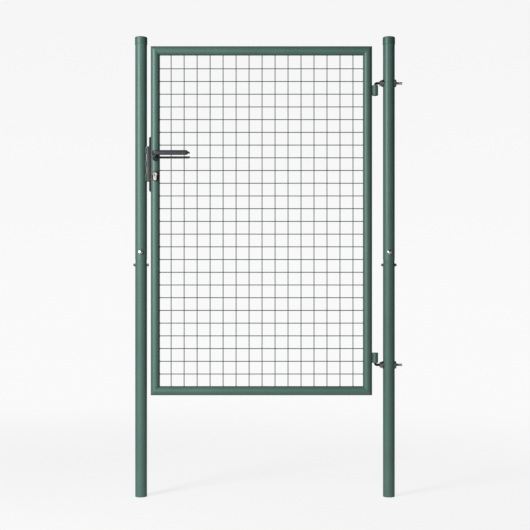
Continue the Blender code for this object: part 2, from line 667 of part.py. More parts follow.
def make_latch():
    head_left = -LATCH_THROW
    back = head_left + LATCH_BODY
    head = [(head_left, LATCH_HALF), (head_left, LATCH_HALF - LATCH_NOSE),
            (head_left + LATCH_SLOPE, -LATCH_HALF), (back, -LATCH_HALF), (back, LATCH_HALF)]
    latch = add("latch_bolt", outline(head, LATCH_HEIGHT), at(FACE_X, 0, LATCH_Z), ZINC, LATCH_PIVOT)
    finger_side = FINGER_WIDTH / 2 / math.cos(FINGER_LEAN) - LUG_RISE * math.tan(FINGER_LEAN)
    lug_left = LOCK_X + finger_side + GAP
    stem_bottom = SPINDLE_Z + math.hypot(FINGER_REACH, FINGER_WIDTH / 2) + 2 * GAP
    stem_left = FACE_X + back - LATCH_LAP
    stem_length = lug_left + LUG_LENGTH - stem_left
    stem = cutter("latch_stem", box(stem_length, STEM_WIDTH, STEM_HEIGHT),
                  at(stem_left + stem_length / 2, 0, stem_bottom + STEM_HEIGHT / 2))
    lug_bottom = SPINDLE_Z + LUG_RISE
    lug_height = stem_bottom - lug_bottom + LATCH_LAP
    lug = cutter("latch_lug", box(LUG_LENGTH, LUG_WIDTH, lug_height),
                 at(lug_left + LUG_LENGTH / 2, 0, lug_bottom + lug_height / 2))
    join(latch, stem, lug)

    start = FACE_X + back + GAP + SPRING_WIRE
    end = CASE_RIGHT - CASE_WALL - GAP - SPRING_WIRE
    steps = SPRING_TURNS * 8
    coil = [(start + (end - start) * step / steps,
             SPRING_RADIUS * math.sin(math.tau * step / 8),
             SPINDLE_Z + SPRING_RISE + SPRING_RADIUS * math.cos(math.tau * step / 8))
            for step in range(steps + 1)]
    add("latch_spring", swept(coil, SPRING_WIRE, 1), ALONG_Z, STEEL, GATE_PIVOT)


def make_deadbolt():
    middle_x = FACE_X + BOLT_INSET + BOLT_LENGTH / 2
    add("deadbolt", box(BOLT_LENGTH, 2 * BOLT_HALF, BOLT_HEIGHT), at(middle_x, 0, BOLT_Z), ZINC, BOLT_PIVOT)


def make_hub():
    """Disc on the spindle with a finger that draws the latch."""
    half = math.degrees(math.asin(FINGER_WIDTH / 2 / HUB_RADIUS))
    round_part = arc((0, 0), HUB_RADIUS, 90 - half, -270 + half, 16)
    finger = [(-FINGER_WIDTH / 2, FINGER_REACH), (FINGER_WIDTH / 2, FINGER_REACH)]
    lean = Matrix.Rotation(FINGER_LEAN, 4, "Z")
    hub = add("lever_hub", outline(round_part + finger, 2 * HUB_HALF),
              at(LOCK_X, 0, SPINDLE_Z, FACING_Y @ lean), STEEL, LEVER_PIVOT)
    side = SPINDLE + 2 * GAP
    cut(hub, cutter("hub_square", box(side, 4 * HUB_HALF, side), at(LOCK_X, 0, SPINDLE_Z)))
    add("lever_spindle", box(SPINDLE, 2 * SPINDLE_HALF, SPINDLE), at(LOCK_X, 0, SPINDLE_Z), ZINC, LEVER_PIVOT)


def make_lever(label, side, grip_height, lever_reach):
    """side is -1 for the front lever and +1 for the rear one."""
    grip_y = side * LEVER_CENTRE_Y
    grip_z = SPINDLE_Z + LEVER_RAISE
    neck_start = ROSETTE_Y + GAP
    neck = add(label + "_lever", rod(NECK_RADIUS, LEVER_CENTRE_Y - neck_start, TUBE_SIDES),
               at(LOCK_X, side * (neck_start + LEVER_CENTRE_Y) / 2, SPINDLE_Z, ALONG_Y), BLACK, LEVER_PIVOT)
    length = lever_reach + NECK_RADIUS
    bevel = min(grip_height, LEVER_DEPTH) * LEVER_BEVEL
    deep, tall = LEVER_DEPTH / 2, grip_height / 2
    section = [(-deep + bevel, -tall), (deep - bevel, -tall), (deep, -tall + bevel), (deep, tall - bevel),
               (deep - bevel, tall), (-deep + bevel, tall), (-deep, tall - bevel), (-deep, -tall + bevel)]
    grip = cutter(label + "_grip", outline(section, length),
                  at(LOCK_X + lever_reach - length / 2, grip_y, grip_z, FACING_X))
    reach = RETURN_REACH + RETURN_LAP
    back = RETURN_DEPTH + LEVER_DEPTH / 3
    hook = cutter(label + "_return", box(reach, back, min(RETURN_HEIGHT, grip_height - 2 * GAP)),
                  at(LOCK_X + lever_reach + RETURN_REACH - reach / 2, grip_y - side * back / 2, grip_z))
    join(neck, grip, hook)
    socket = SPINDLE + 2 * GAP
    cut(neck, cutter(label + "_socket", box(socket, 2 * (SPINDLE_HALF + GAP), socket),
                     at(LOCK_X, 0, SPINDLE_Z)))

    stile_room = cutter(label + "_rosette_seat", rod(FRAME_RADIUS + GAP, 0.4, TUBE_SIDES),
                        at(LOCK_STILE_X, 0, SPINDLE_Z))
    depth = ROSETTE_Y - FRAME_RADIUS / 2
    middle_y = side * (ROSETTE_Y - depth / 2)
    plate = add(label + "_lever_rosette", oval(LEVER_ROSETTE_WIDTH, LEVER_ROSETTE_HEIGHT, depth),
                at(LOCK_X, middle_y, SPINDLE_Z, FACING_Y), BLACK, GATE_PIVOT)
    cut(plate, stile_room, cutter(label + "_rosette_hole", rod(SPINDLE_HOLE, 0.1),
                                  at(LOCK_X, 0, SPINDLE_Z, ALONG_Y)))
    key_plate = add(label + "_key_rosette", oval(KEY_ROSETTE_WIDTH, KEY_ROSETTE_HEIGHT, depth),
                    at(LOCK_X, middle_y, PLUG_Z - KEY_ROSETTE_DROP, FACING_Y), BLACK, GATE_PIVOT)
    cut(key_plate, stile_room, euro_cutter(label + "_rosette_euro", GAP))


def make_cylinder(fixing_way):
    body = add("cylinder_body", outline(euro_outline(), 2 * EURO_HALF), at(LOCK_X, 0, PLUG_Z, FACING_Y),
               NICKEL, GATE_PIVOT)
    bore = cutter("plug_bore", rod(PLUG_RADIUS + GAP, 4 * EURO_HALF), at(LOCK_X, 0, PLUG_Z, ALONG_Y))
    room_height = BRIDGE_TOP + CAM_ROOM_ABOVE
    cam_room = cutter("cam_room", box(4 * EURO_RADIUS, 2 * (CAM_HALF + GAP), room_height),
                      at(LOCK_X, 0, PLUG_Z - BRIDGE_TOP + room_height / 2))
    cut(body, bore, cam_room, fixing_way)
    plug_length = EURO_HALF - CAM_HALF - 2 * GAP
    for label, side in (("front", -1), ("rear", 1)):
        plug = add(label + "_key_plug", rod(PLUG_RADIUS, plug_length),
                   at(LOCK_X, side * (EURO_HALF - plug_length / 2), PLUG_Z, ALONG_Y), NICKEL, PLUG_PIVOT)
        keyway = cutter(label + "_keyway", box(KEYWAY_WIDTH, 2 * KEYWAY_DEPTH, KEYWAY_HEIGHT),
                        at(LOCK_X, side * EURO_HALF, PLUG_Z - KEYWAY_DROP))
        cut(plug, keyway)
    half = math.degrees(math.asin(CAM_FINGER / 2 / EURO_RADIUS))
    round_part = arc((0, 0), EURO_RADIUS - GAP, 90 - half, -270 + half, 12)
    shoulder, tip = CAM_RADIUS * CAM_SHOULDER, CAM_RADIUS * CAM_TIP
    finger = [(-CAM_FINGER / 2, shoulder), (-CAM_FINGER / 4, tip),
              (CAM_FINGER / 4, tip), (CAM_FINGER / 2, shoulder)]
    add("cylinder_cam", outline(round_part + finger, 2 * CAM_HALF), at(LOCK_X, 0, PLUG_Z, FACING_Y),
        STEEL, PLUG_PIVOT)


def make_keep(post_tubes):
    """Slotted strip welded to the latch post, its front lip the gate's stop."""
    back = -KEEP_FLANGE
    web = -KEEP_WALL
    lip = FACE_X - KEEP_X + KEEP_LIP
    section = [(back, -KEEP_HALF), (lip, -KEEP_HALF), (lip, -KEEP_HALF + KEEP_WALL),
               (0, -KEEP_HALF + KEEP_WALL), (0, KEEP_HALF), (back, KEEP_HALF),
               (back, KEEP_HALF - KEEP_WALL), (web, KEEP_HALF - KEEP_WALL),
               (web, -KEEP_HALF + KEEP_WALL), (back, -KEEP_HALF + KEEP_WALL)]
    height = KEEP_TOP_Z - KEEP_BOTTOM_Z
    keep = add("latch_keep", outline(section, height), at(KEEP_X, 0, KEEP_BOTTOM_Z + height / 2), GREY)
    post_room = cutter("keep_seat", rod(POST_RADIUS + GAP, 2 * height, TUBE_SIDES),
                       at(LEFT_POST_X, 0, KEEP_BOTTOM_Z + height / 2))
    for label, half, tall, z in (("latch", LATCH_HALF, LATCH_HEIGHT, LATCH_Z),
                                 ("deadbolt", BOLT_HALF, BOLT_HEIGHT, BOLT_Z)):
        slot = box(2 * KEEP_FLANGE, 2 * (half + BOLT_SLOT_ROOM), tall + 2 * BOLT_SLOT_RISE)
        cut(keep, cutter("keep_slot_" + label, slot, at(KEEP_X, 0, z)))
    cut(keep, post_room)
    post_slot = cutter("post_deadbolt_slot",
                       box(POST_RADIUS, 2 * (BOLT_HALF + POST_SLOT_ROOM), BOLT_HEIGHT + 2 * POST_SLOT_RISE),
                       at(LEFT_POST_X + POST_RADIUS, 0, BOLT_Z))
    cut(post_tubes[0], post_slot)


# ---------------------------------------------------------------- assembly
left_tubes = make_post("left", LEFT_POST_X)
right_tubes = make_post("right", RIGHT_POST_X)
make_hinge("upper", right_tubes[0], UPPER_BARREL_Z, 1)
make_hinge("lower", right_tubes[1], LOWER_BARREL_Z, -1)
frame = make_frame()
make_mesh_panel()
latch_way, bolt_way, fixing_way = make_faceplate(frame["lock_stile"])
make_case(frame["lock_stile"], (latch_way, bolt_way, fixing_way))
make_latch()
make_deadbolt()
make_hub()
make_lever("front", -1, FRONT_GRIP_HEIGHT, FRONT_LEVER_REACH)
make_lever("rear", 1, REAR_GRIP_HEIGHT, REAR_LEVER_REACH)
make_cylinder(fixing_way)
make_keep(left_tubes)
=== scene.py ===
"""Visual model of the mesh garden gate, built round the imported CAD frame. Metres, +Z up, front towards -Y."""
import json
import math
import random

import bmesh
import bpy
from mathutils import Matrix, Vector


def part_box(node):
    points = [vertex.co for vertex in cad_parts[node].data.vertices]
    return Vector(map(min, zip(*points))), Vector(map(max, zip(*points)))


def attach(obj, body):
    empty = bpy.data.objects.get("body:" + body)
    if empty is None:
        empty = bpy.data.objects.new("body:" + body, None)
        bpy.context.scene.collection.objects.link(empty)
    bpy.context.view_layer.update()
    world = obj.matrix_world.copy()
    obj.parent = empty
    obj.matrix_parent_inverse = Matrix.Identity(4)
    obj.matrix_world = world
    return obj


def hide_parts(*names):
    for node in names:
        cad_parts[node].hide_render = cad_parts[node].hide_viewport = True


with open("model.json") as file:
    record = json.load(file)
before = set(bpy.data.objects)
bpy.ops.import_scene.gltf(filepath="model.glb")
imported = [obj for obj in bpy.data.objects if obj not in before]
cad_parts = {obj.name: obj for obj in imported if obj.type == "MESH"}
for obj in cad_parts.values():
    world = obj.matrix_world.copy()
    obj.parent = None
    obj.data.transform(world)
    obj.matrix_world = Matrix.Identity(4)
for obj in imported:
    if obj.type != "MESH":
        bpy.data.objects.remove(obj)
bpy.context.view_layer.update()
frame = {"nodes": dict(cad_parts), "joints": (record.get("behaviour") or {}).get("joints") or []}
random.seed(7)

MM = 0.001
GAP = 0.3 * MM
WALL = 1.5 * MM  # of posts and frame tubes
FRAME_RADIUS = 0.0175
ROD_HOLE = 5.5 * MM  # radius, round hooks and through screws
CROSS_HOLE = 4.5 * MM
SPINDLE_HOLE = 6.2 * MM
TUBE_SIDES = 64
ROD_SIDES = 32
SADDLE_SIDES = 96  # of a cutter that seats a piece on a tube
THROUGH = 0.1  # half length of a cutter that goes right through

TO_X = Matrix.Rotation(math.pi / 2, 4, "Y")  # local z to +x
TO_MINUS_X = Matrix.Rotation(-math.pi / 2, 4, "Y")
TO_FRONT = Matrix.Rotation(math.pi / 2, 4, "X")  # local z to -y, local y stays up
TO_BACK = Matrix.Rotation(-math.pi / 2, 4, "X")


def middle(node):
    low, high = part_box(node)
    return (low + high) / 2


def span(node):
    low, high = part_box(node)
    return high - low


def at(x, y, z, turn=None):
    place = Matrix.Translation((x, y, z))
    return place @ turn if turn else place


# ---- materials
def node(tree, kind, **settings):
    """A shader node with constants on its sockets; an underscore stands for a space in a socket's name."""
    made = tree.nodes.new("ShaderNode" + kind)
    for key, value in settings.items():
        made.inputs[key.replace("_", " ")].default_value = value
    return made


def link(output, socket):
    socket.id_data.links.new(output, socket)


def noise(tree, where, scale, detail=2.0, roughness=0.5, stretch=None):
    """A noise of that many features per metre, optionally stretched along an axis."""
    made = node(tree, "TexNoise", Scale=scale, Detail=detail, Roughness=roughness)
    if stretch:
        mapping = node(tree, "Mapping", Scale=stretch)
        link(where, mapping.inputs["Vector"])
        where = mapping.outputs["Vector"]
    link(where, made.inputs["Vector"])
    return made.outputs["Fac"]


def remap(tree, value, low, high, from_low=0.3, from_high=0.7):
    made = node(tree, "MapRange", From_Min=from_low, From_Max=from_high, To_Min=low, To_Max=high)
    link(value, made.inputs["Value"])
    return made.outputs["Result"]


def blend_colours(tree, factor, first, second):
    made = node(tree, "Mix")
    made.data_type = "RGBA"
    for index, colour in ((6, first), (7, second)):
        if isinstance(colour, tuple):
            made.inputs[index].default_value = (*colour, 1.0)
        else:
            link(colour, made.inputs[index])
    link(factor, made.inputs[0])
    return made.outputs[2]


def arithmetic(tree, operation, first, second):
    made = node(tree, "Math")
    made.operation = operation
    for index, value in enumerate((first, second)):
        if isinstance(value, (int, float)):
            made.inputs[index].default_value = value
        else:
            link(value, made.inputs[index])
    return made.outputs[0]


def edge_mask(tree, radius, grain):
    """1 on worn edges, 0 on flats, broken up by a noise."""
    bevel = node(tree, "Bevel", Radius=radius)
    bevel.samples = 4
    geometry = node(tree, "NewGeometry")
    dot = node(tree, "VectorMath")
    dot.operation = "DOT_PRODUCT"
    link(bevel.outputs["Normal"], dot.inputs[0])
    link(geometry.outputs["Normal"], dot.inputs[1])
    curved = remap(tree, dot.outputs["Value"], 1.0, 0.0, 0.86, 0.985)
    return arithmetic(tree, "MULTIPLY", curved, remap(tree, grain, 0.1, 1.0, 0.42, 0.60))


def surface(name, light, dark, rough, metallic=0.0, patch=7.0, peel=650.0, peel_depth=0.05,
            grain=2600.0, grain_depth=0.02, wear=None, wear_rough=0.3, edge=0.9, stretch=None,
            specular=0.5, dust=None, rim=0.0, shade=None):
    """A finish with slow colour drift, orange peel and grain in bump, and wear on its edges.

    Depths are millimetres. light and dark are the two ends of the colour drift. rim sets a painted
    shade that darkens what turns away from the eye, and shade is (from x, to x, colour) for a painted
    shadow on a part that darkens along x.
    """
    made = bpy.data.materials.new(name)
    made.use_nodes = True
    tree = made.node_tree
    shader = tree.nodes["Principled BSDF"]
    where = node(tree, "TexCoord").outputs["Object"]
    drift = noise(tree, where, patch, 4.0, 0.6)
    fine = noise(tree, where, grain, 2.0, 0.55, stretch)
    wavy = noise(tree, where, peel, 1.0, 0.4, stretch)
    colour = blend_colours(tree, remap(tree, drift, 0.0, 1.0), dark, light)
    mottle = arithmetic(tree, "ADD", arithmetic(tree, "MULTIPLY", drift, 0.5),
                        arithmetic(tree, "MULTIPLY", fine, 0.5))
    roughness = remap(tree, mottle, rough * 0.82, rough * 1.18)
    if dust:
        speck = noise(tree, where, 140.0, 6.0, 0.75)
        amount = remap(tree, speck, 0.0, 0.35, 0.56, 0.74)
        colour = blend_colours(tree, amount, colour, dust)
        roughness = arithmetic(tree, "ADD", roughness, arithmetic(tree, "MULTIPLY", amount, 0.35))
    if wear:
        mask = edge_mask(tree, 1.1 * MM, noise(tree, where, 420.0, 3.0, 0.6))
        worn = arithmetic(tree, "MULTIPLY", mask, edge)
        colour = blend_colours(tree, worn, colour, wear)
        away = arithmetic(tree, "SUBTRACT", 1.0, worn)
        roughness = arithmetic(tree, "ADD", arithmetic(tree, "MULTIPLY", roughness, away),
                               arithmetic(tree, "MULTIPLY", worn, wear_rough))
    # painted shadow: below x = start the colour is the given dark colour, above x = end its own, blended
    # between
    if shade:
        along = node(tree, "SeparateXYZ")
        link(where, along.inputs["Vector"])
        start, end, shaded = shade
        colour = blend_colours(tree, remap(tree, along.outputs["X"], 0.0, 1.0, start, end), shaded, colour)
    # painted shade: scaled by rim, the colour darkens towards a quarter of dark where the surface turns away
    # from the eye
    if rim:
        facing = node(tree, "LayerWeight", Blend=0.5).outputs["Facing"]
        painted_rim_shade = arithmetic(tree, "MULTIPLY", arithmetic(tree, "POWER", facing, 3.0), rim)
        colour = blend_colours(tree, painted_rim_shade, colour, tuple(value * 0.25 for value in dark))
    link(colour, shader.inputs["Base Color"])
    link(roughness, shader.inputs["Roughness"])
    coarse = node(tree, "Bump", Distance=peel_depth * MM)
    link(wavy, coarse.inputs["Height"])
    sharp = node(tree, "Bump", Distance=grain_depth * MM)
    link(fine, sharp.inputs["Height"])
    link(coarse.outputs["Normal"], sharp.inputs["Normal"])
    link(sharp.outputs["Normal"], shader.inputs["Normal"])
    shader.inputs["Metallic"].default_value = metallic
    shader.inputs["Specular IOR Level"].default_value = specular
    return made


# green_coat's rim=0.85 paints shade where the tubes turn away from the eye
GREEN = surface("green_coat", (0.074, 0.150, 0.124), (0.065, 0.133, 0.110), 0.40,
        wear=(0.11, 0.19, 0.16), wear_rough=0.34, edge=0.40, specular=0.38, rim=0.85)
GREEN_WELD = surface("green_weld", (0.060, 0.138, 0.109), (0.050, 0.118, 0.093), 0.42, peel=380.0,
        peel_depth=0.16, wear=(0.10, 0.18, 0.15), edge=0.3)
GREEN_CAP = surface("green_cap", (0.054, 0.124, 0.100), (0.048, 0.110, 0.088), 0.44, peel=1200.0,
        peel_depth=0.03, grain=3800.0, grain_depth=0.03, wear=(0.09, 0.16, 0.13), edge=0.25)
# green_wire is green_coat darkened: painted shade that gives the thin wires their darker look; its rim=0.5
# paints more shade where they turn away from the eye
GREEN_WIRE = surface("green_wire", (0.042, 0.090, 0.073), (0.034, 0.076, 0.062), 0.42, peel=1100.0,
        peel_depth=0.05, wear=(0.08, 0.14, 0.12), edge=0.3, specular=0.35, rim=0.5)
ZINC = surface("zinc_plate", (0.80, 0.81, 0.80), (0.64, 0.66, 0.68), 0.24, metallic=1.0, patch=90.0,
        peel=900.0, peel_depth=0.02, wear=(0.88, 0.88, 0.88), wear_rough=0.2, edge=0.5,
        dust=(0.50, 0.49, 0.46))
DULL_ZINC = surface("dull_zinc", (0.36, 0.36, 0.36), (0.22, 0.22, 0.23), 0.30, metallic=1.0, patch=110.0,
        peel=900.0, peel_depth=0.03, wear=(0.80, 0.80, 0.79), wear_rough=0.2, edge=0.8,
        dust=(0.16, 0.15, 0.14))
# saddle_zinc is zinc darkened nearly to black: painted shade for the dark look of the inner hinge saddles
SADDLE_ZINC = surface("saddle_zinc", (0.105, 0.107, 0.110), (0.065, 0.066, 0.070), 0.34, metallic=0.9,
        patch=110.0, peel=900.0, peel_depth=0.03, wear=(0.60, 0.60, 0.59), wear_rough=0.24,
        edge=0.9)
DARK_ZINC = surface("dark_zinc", (0.20, 0.17, 0.15), (0.12, 0.105, 0.095), 0.36, metallic=0.85, patch=120.0,
        peel=900.0, peel_depth=0.03, wear=(0.55, 0.53, 0.50), wear_rough=0.28, edge=0.6)
# rolled_thread's shade paints a shadow on the hook bolt: near black below x = 0.436 m, on its plain end by the
# barrel
THREAD = surface("rolled_thread", (0.62, 0.60, 0.57), (0.40, 0.39, 0.37), 0.33, metallic=1.0, patch=160.0,
        peel=1300.0, peel_depth=0.02, wear=(0.80, 0.79, 0.76), edge=0.5, dust=(0.20, 0.18, 0.16),
        shade=(0.436, 0.470, (0.07, 0.068, 0.065)))
NICKEL = surface("nickel_plate", (0.47, 0.43, 0.395), (0.39, 0.355, 0.32), 0.40, metallic=1.0, patch=60.0,
        peel=2000.0, peel_depth=0.01, stretch=(1.0, 1.0, 9.0), wear=(0.66, 0.62, 0.57),
        wear_rough=0.30, edge=0.4)
BLACK = surface("black_coat", (0.034, 0.037, 0.044), (0.024, 0.027, 0.033), 0.42, peel=800.0, peel_depth=0.05,
        wear=(0.09, 0.095, 0.105), wear_rough=0.34, edge=0.6, specular=0.4)
BLACK_PLATE = surface("black_plate", (0.016, 0.017, 0.019), (0.011, 0.012, 0.013), 0.44, peel=800.0,
        peel_depth=0.05, wear=(0.06, 0.062, 0.066), wear_rough=0.34, edge=0.5, specular=0.3)
BLACK_PLASTIC = surface("black_plastic", (0.013, 0.014, 0.016), (0.009, 0.010, 0.011), 0.50, peel=1500.0,
        peel_depth=0.04, grain=4200.0, grain_depth=0.04, wear=(0.045, 0.046, 0.048),
        edge=0.4, specular=0.3)
STEEL = surface("bare_steel", (0.50, 0.51, 0.52), (0.38, 0.39, 0.40), 0.38, metallic=1.0, patch=70.0,
        peel=500.0, peel_depth=0.03, stretch=(1.0, 1.0, 0.15), wear=(0.66, 0.66, 0.66), edge=0.5,
        dust=(0.22, 0.20, 0.18))
KEEP = surface("keep_paint", (0.060, 0.056, 0.054), (0.044, 0.041, 0.040), 0.40, peel=700.0, peel_depth=0.08,
        wear=(0.20, 0.19, 0.18), wear_rough=0.3, edge=0.8)


# ---- mesh builders
def lathe(profile, sides=TUBE_SIDES, closed=False, phase=0.0):
    """Turns (radius, height) points about local z into a bmesh."""
    bm = bmesh.new()
    rings = []
    for radius, height in profile:
        if radius < 1e-7:
            rings.append([bm.verts.new((0, 0, height))])
            continue
        turns = [math.tau * (step + phase) / sides for step in range(sides)]
        rings.append([bm.verts.new((radius * math.cos(t), radius * math.sin(t), height)) for t in turns])
    follow = rings[1:] + (rings[:1] if closed else [])
    for first, second in zip(rings, follow):
        for step in range(sides):
            corners = []
            for ring, index in ((first, step), (first, step + 1), (second, step + 1), (second, step)):
                vertex = ring[index % len(ring)]
                if vertex not in corners:
                    corners.append(vertex)
            bm.faces.new(corners)
    return bm


def prism(points, thickness):
    """A flat outline of (x, y) points given a thickness about z = 0."""
    bm = bmesh.new()
    low = [bm.verts.new((x, y, -thickness / 2)) for x, y in points]
    high = [bm.verts.new((x, y, thickness / 2)) for x, y in points]
    bm.faces.new(low[::-1])
    bm.faces.new(high)
    for step, vertex in enumerate(low):
        after = (step + 1) % len(low)
        bm.faces.new((vertex, low[after], high[after], high[step]))
    return bm


def rod(radius, half=THROUGH, sides=ROD_SIDES):
    """A plain round bar about the origin, for cutting."""
    return lathe([(0, -half), (radius, -half), (radius, half), (0, half)], sides)


def block(size_x, size_y, size_z):
    half_x, half_y = size_x / 2, size_y / 2
    return prism([(-half_x, -half_y), (half_x, -half_y), (half_x, half_y), (-half_x, half_y)], size_z)


def skin(sections):
    """Joins rings of points, one after another, and closes both ends."""
    bm = bmesh.new()
    rings = [[bm.verts.new(point) for point in section] for section in sections]
    for first, second in zip(rings, rings[1:]):
        for step in range(len(first)):
            after = (step + 1) % len(first)
            bm.faces.new((first[step], first[after], second[after], second[step]))
    bm.faces.new(rings[0][::-1])
    bm.faces.new(rings[-1])
    return bm


def sweep(path, radius, sides=ROD_SIDES, side=None):
    """A round bar along a path; radius is a number or a function of (index, angle)."""
    points = [Vector(point) for point in path]
    last = len(points) - 1
    across = Vector(side) if side else (points[1] - points[0]).orthogonal().normalized()
    sections = []
    for index, point in enumerate(points):
        ahead = (points[min(index + 1, last)] - points[max(index - 1, 0)]).normalized()
        across = (across - ahead * across.dot(ahead)).normalized()
        up = ahead.cross(across)
        ring = []
        for step in range(sides):
            turn = math.tau * step / sides
            size = radius(index, turn) if callable(radius) else radius
            ring.append(point + (across * math.cos(turn) + up * math.sin(turn)) * size)
        sections.append(ring)
    return skin(sections)


def loop(path, radius, sides):
    """A closed round bead along a closed path; radius is a function of the index."""
    points = [Vector(point) for point in path]
    count = len(points)
    bm = bmesh.new()
    centre = sum(points, Vector()) / count
    rings = []
    for index, point in enumerate(points):
        ahead = (points[(index + 1) % count] - points[index - 1]).normalized()
        out = point - centre
        out = (out - ahead * out.dot(ahead)).normalized()
        up = ahead.cross(out)
        turns = [math.tau * step / sides for step in range(sides)]
        size = radius(index)
        rings.append([bm.verts.new(point + (out * math.cos(t) + up * math.sin(t)) * size) for t in turns])
    for index, ring in enumerate(rings):
        after = rings[(index + 1) % count]
        for step in range(sides):
            beyond = (step + 1) % sides
            bm.faces.new((ring[step], ring[beyond], after[beyond], after[step]))
    return bm


def quarter(count):
    """Angles over a quarter turn, in radians."""
    return [math.pi / 2 * step / count for step in range(count + 1)]


def arc(centre, radius, start, end, count):
    """Points on an arc, angles in degrees from local +x."""
    turns = [math.radians(start + (end - start) * step / count) for step in range(count + 1)]
    return [(centre[0] + radius * math.cos(t), centre[1] + radius * math.sin(t)) for t in turns]


def gather(pieces):
    """One bmesh from several."""
    whole = bmesh.new()
    for piece in pieces:
        shape = bpy.data.meshes.new("part")
        piece.to_mesh(shape)
        piece.free()
        whole.from_mesh(shape)
        bpy.data.meshes.remove(shape)
    return whole


def to_object(name, bm, matrix=None):
    if matrix:
        bm.transform(matrix)
    bmesh.ops.recalc_face_normals(bm, faces=bm.faces)
    mesh = bpy.data.meshes.new(name)
    bm.to_mesh(mesh)
    bm.free()
    made = bpy.data.objects.new(name, mesh)
    bpy.context.scene.collection.objects.link(made)
    return made


def settle(obj):
    """Applies the object's modifiers to its mesh."""
    bpy.context.view_layer.update()
    graph = bpy.context.evaluated_depsgraph_get()
    mesh = bpy.data.meshes.new_from_object(obj.evaluated_get(graph))
    obj.modifiers.clear()
    old = obj.data
    obj.data = mesh
    bpy.data.meshes.remove(old)
    mesh.name = obj.name


def carve(obj, *tools, operation="DIFFERENCE"):
    """Cuts (bmesh, matrix) tools out of the object."""
    for bm, matrix in tools:
        tool = to_object("tool", bm, matrix)
        modifier = obj.modifiers.new("cut", "BOOLEAN")
        modifier.operation = operation
        modifier.object = tool
        modifier.solver = "EXACT"
        settle(obj)
        bpy.data.objects.remove(tool)
    return obj


def soften(obj, width, segments=2, angle=32):
    """Rounds the edges sharper than the angle."""
    modifier = obj.modifiers.new("round", "BEVEL")
    modifier.width = width
    modifier.segments = segments
    modifier.limit_method = "ANGLE"
    modifier.angle_limit = math.radians(angle)
    modifier.use_clamp_overlap = True
    settle(obj)
    return obj


def finish_piece(obj, material, body, replaces=(), sharp=34):
    mesh = obj.data
    mesh.materials.clear()
    mesh.materials.append(material)
    mesh.shade_smooth()
    mesh.set_sharp_from_angle(angle=math.radians(sharp))
    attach(obj, body)
    if replaces:
        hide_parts(*replaces)
    return obj


def bead(points, radius, end_sizes, sides):
    """A weld bead along points; end_sizes scale its radius inwards from both ends."""
    last = len(points) - 1

    def size(index, _):
        inwards = min(index, last - index)
        return radius(index) * (end_sizes[inwards] if inwards < len(end_sizes) else 1)

    return sweep(points, size, sides)


def ripple(size, seed, pitch=3):
    """Radius along a weld bead: overlapping ripples with a little unevenness."""
    chance = random.Random(seed)
    lumps = [chance.uniform(-0.12, 0.12) for _ in range(400)]
    return lambda index: size * (1 + 0.10 * abs(math.sin(math.pi * index / pitch)) + lumps[index // pitch])


def threaded(first, last, radius, pitch, depth, steps=4):
    """Points along a line with a radius function that cuts a helical thread into the bar."""
    length = (last - first).length
    count = max(2, int(length / pitch * steps))
    path = [first.lerp(last, step / count) for step in range(count + 1)]

    def size(index, turn):
        along = length * index / count
        phase = (along / pitch - turn / math.tau) % 1.0
        fade = min(1.0, along / pitch, (length - along) / pitch + 0.25)
        return radius - depth * fade * (1 - abs(2 * phase - 1))

    return path, size


def hex_nut(name, cad_node, axis_turn, bore, material, body):
    """A nut with its corners turned off and a countersunk hole."""
    size = span(cad_node)
    thickness = min(size)
    corner = max(size) / 2
    half = thickness / 2
    level = size.x >= size.z or size.y > size.z          # a corner, not a flat, on local x
    nut = to_object(name, lathe([(0, -half), (corner, -half), (corner, half), (0, half)], 6,
                                phase=0.0 if level else 0.5))
    flat = corner * math.cos(math.pi / 6) * 0.97
    rise = (corner - flat) * 0.55
    reach = corner * 1.01
    crown = lathe([(0, -half), (flat, -half), (reach, -half + rise), (reach, half - rise), (flat, half),
                   (0, half)], 48)
    carve(nut, (crown, None), operation="INTERSECT")
    sink = bore * 1.14
    lead = sink - bore
    carve(nut, (lathe([(0, -thickness), (sink + half, -thickness), (sink, -half), (bore, -half + lead),
                       (bore, half - lead), (sink, half), (sink + half, thickness), (0, thickness)],
                      ROD_SIDES), None))
    nut.data.transform(Matrix.Translation(middle(cad_node)) @ axis_turn)
    return finish_piece(nut, material, body, [cad_node], sharp=25)


def socket_screw(name, cad_node, turn, head_height, out, material, body):
    """A domed screw with a hexagon socket and a plain, chamfered end; out points to its head."""
    low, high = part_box(cad_node)
    out = Vector(out)
    centre = (low + high) / 2
    length = abs(span(cad_node).dot(out))
    across = [value for value in span(cad_node) if abs(value - length) > 1e-5]
    head = across[0] / 2
    shank = head * 0.53 if head > 0.008 else head * 0.57
    top = head_height
    dome = [(head * math.sin(t), top * (0.22 + 0.78 * math.cos(t))) for t in quarter(10)]
    profile = dome + [(head * 0.985, 0.0), (shank, 0), (shank, -0.0004), (shank, -(length - top) + 0.001),
                      (shank - 0.001, -(length - top)), (0, -(length - top))]
    screw = to_object(name, lathe(profile, 48))
    socket = head * 0.36
    carve(screw, (lathe([(0, top * 0.42), (socket * 0.8, top * 0.47), (socket, top * 0.50), (socket, top * 2),
                         (0, top * 2)], 6), None))
    screw.data.transform(Matrix.Translation(centre + out * (length / 2 - top)) @ turn)
    return finish_piece(screw, material, body, [cad_node], sharp=30)


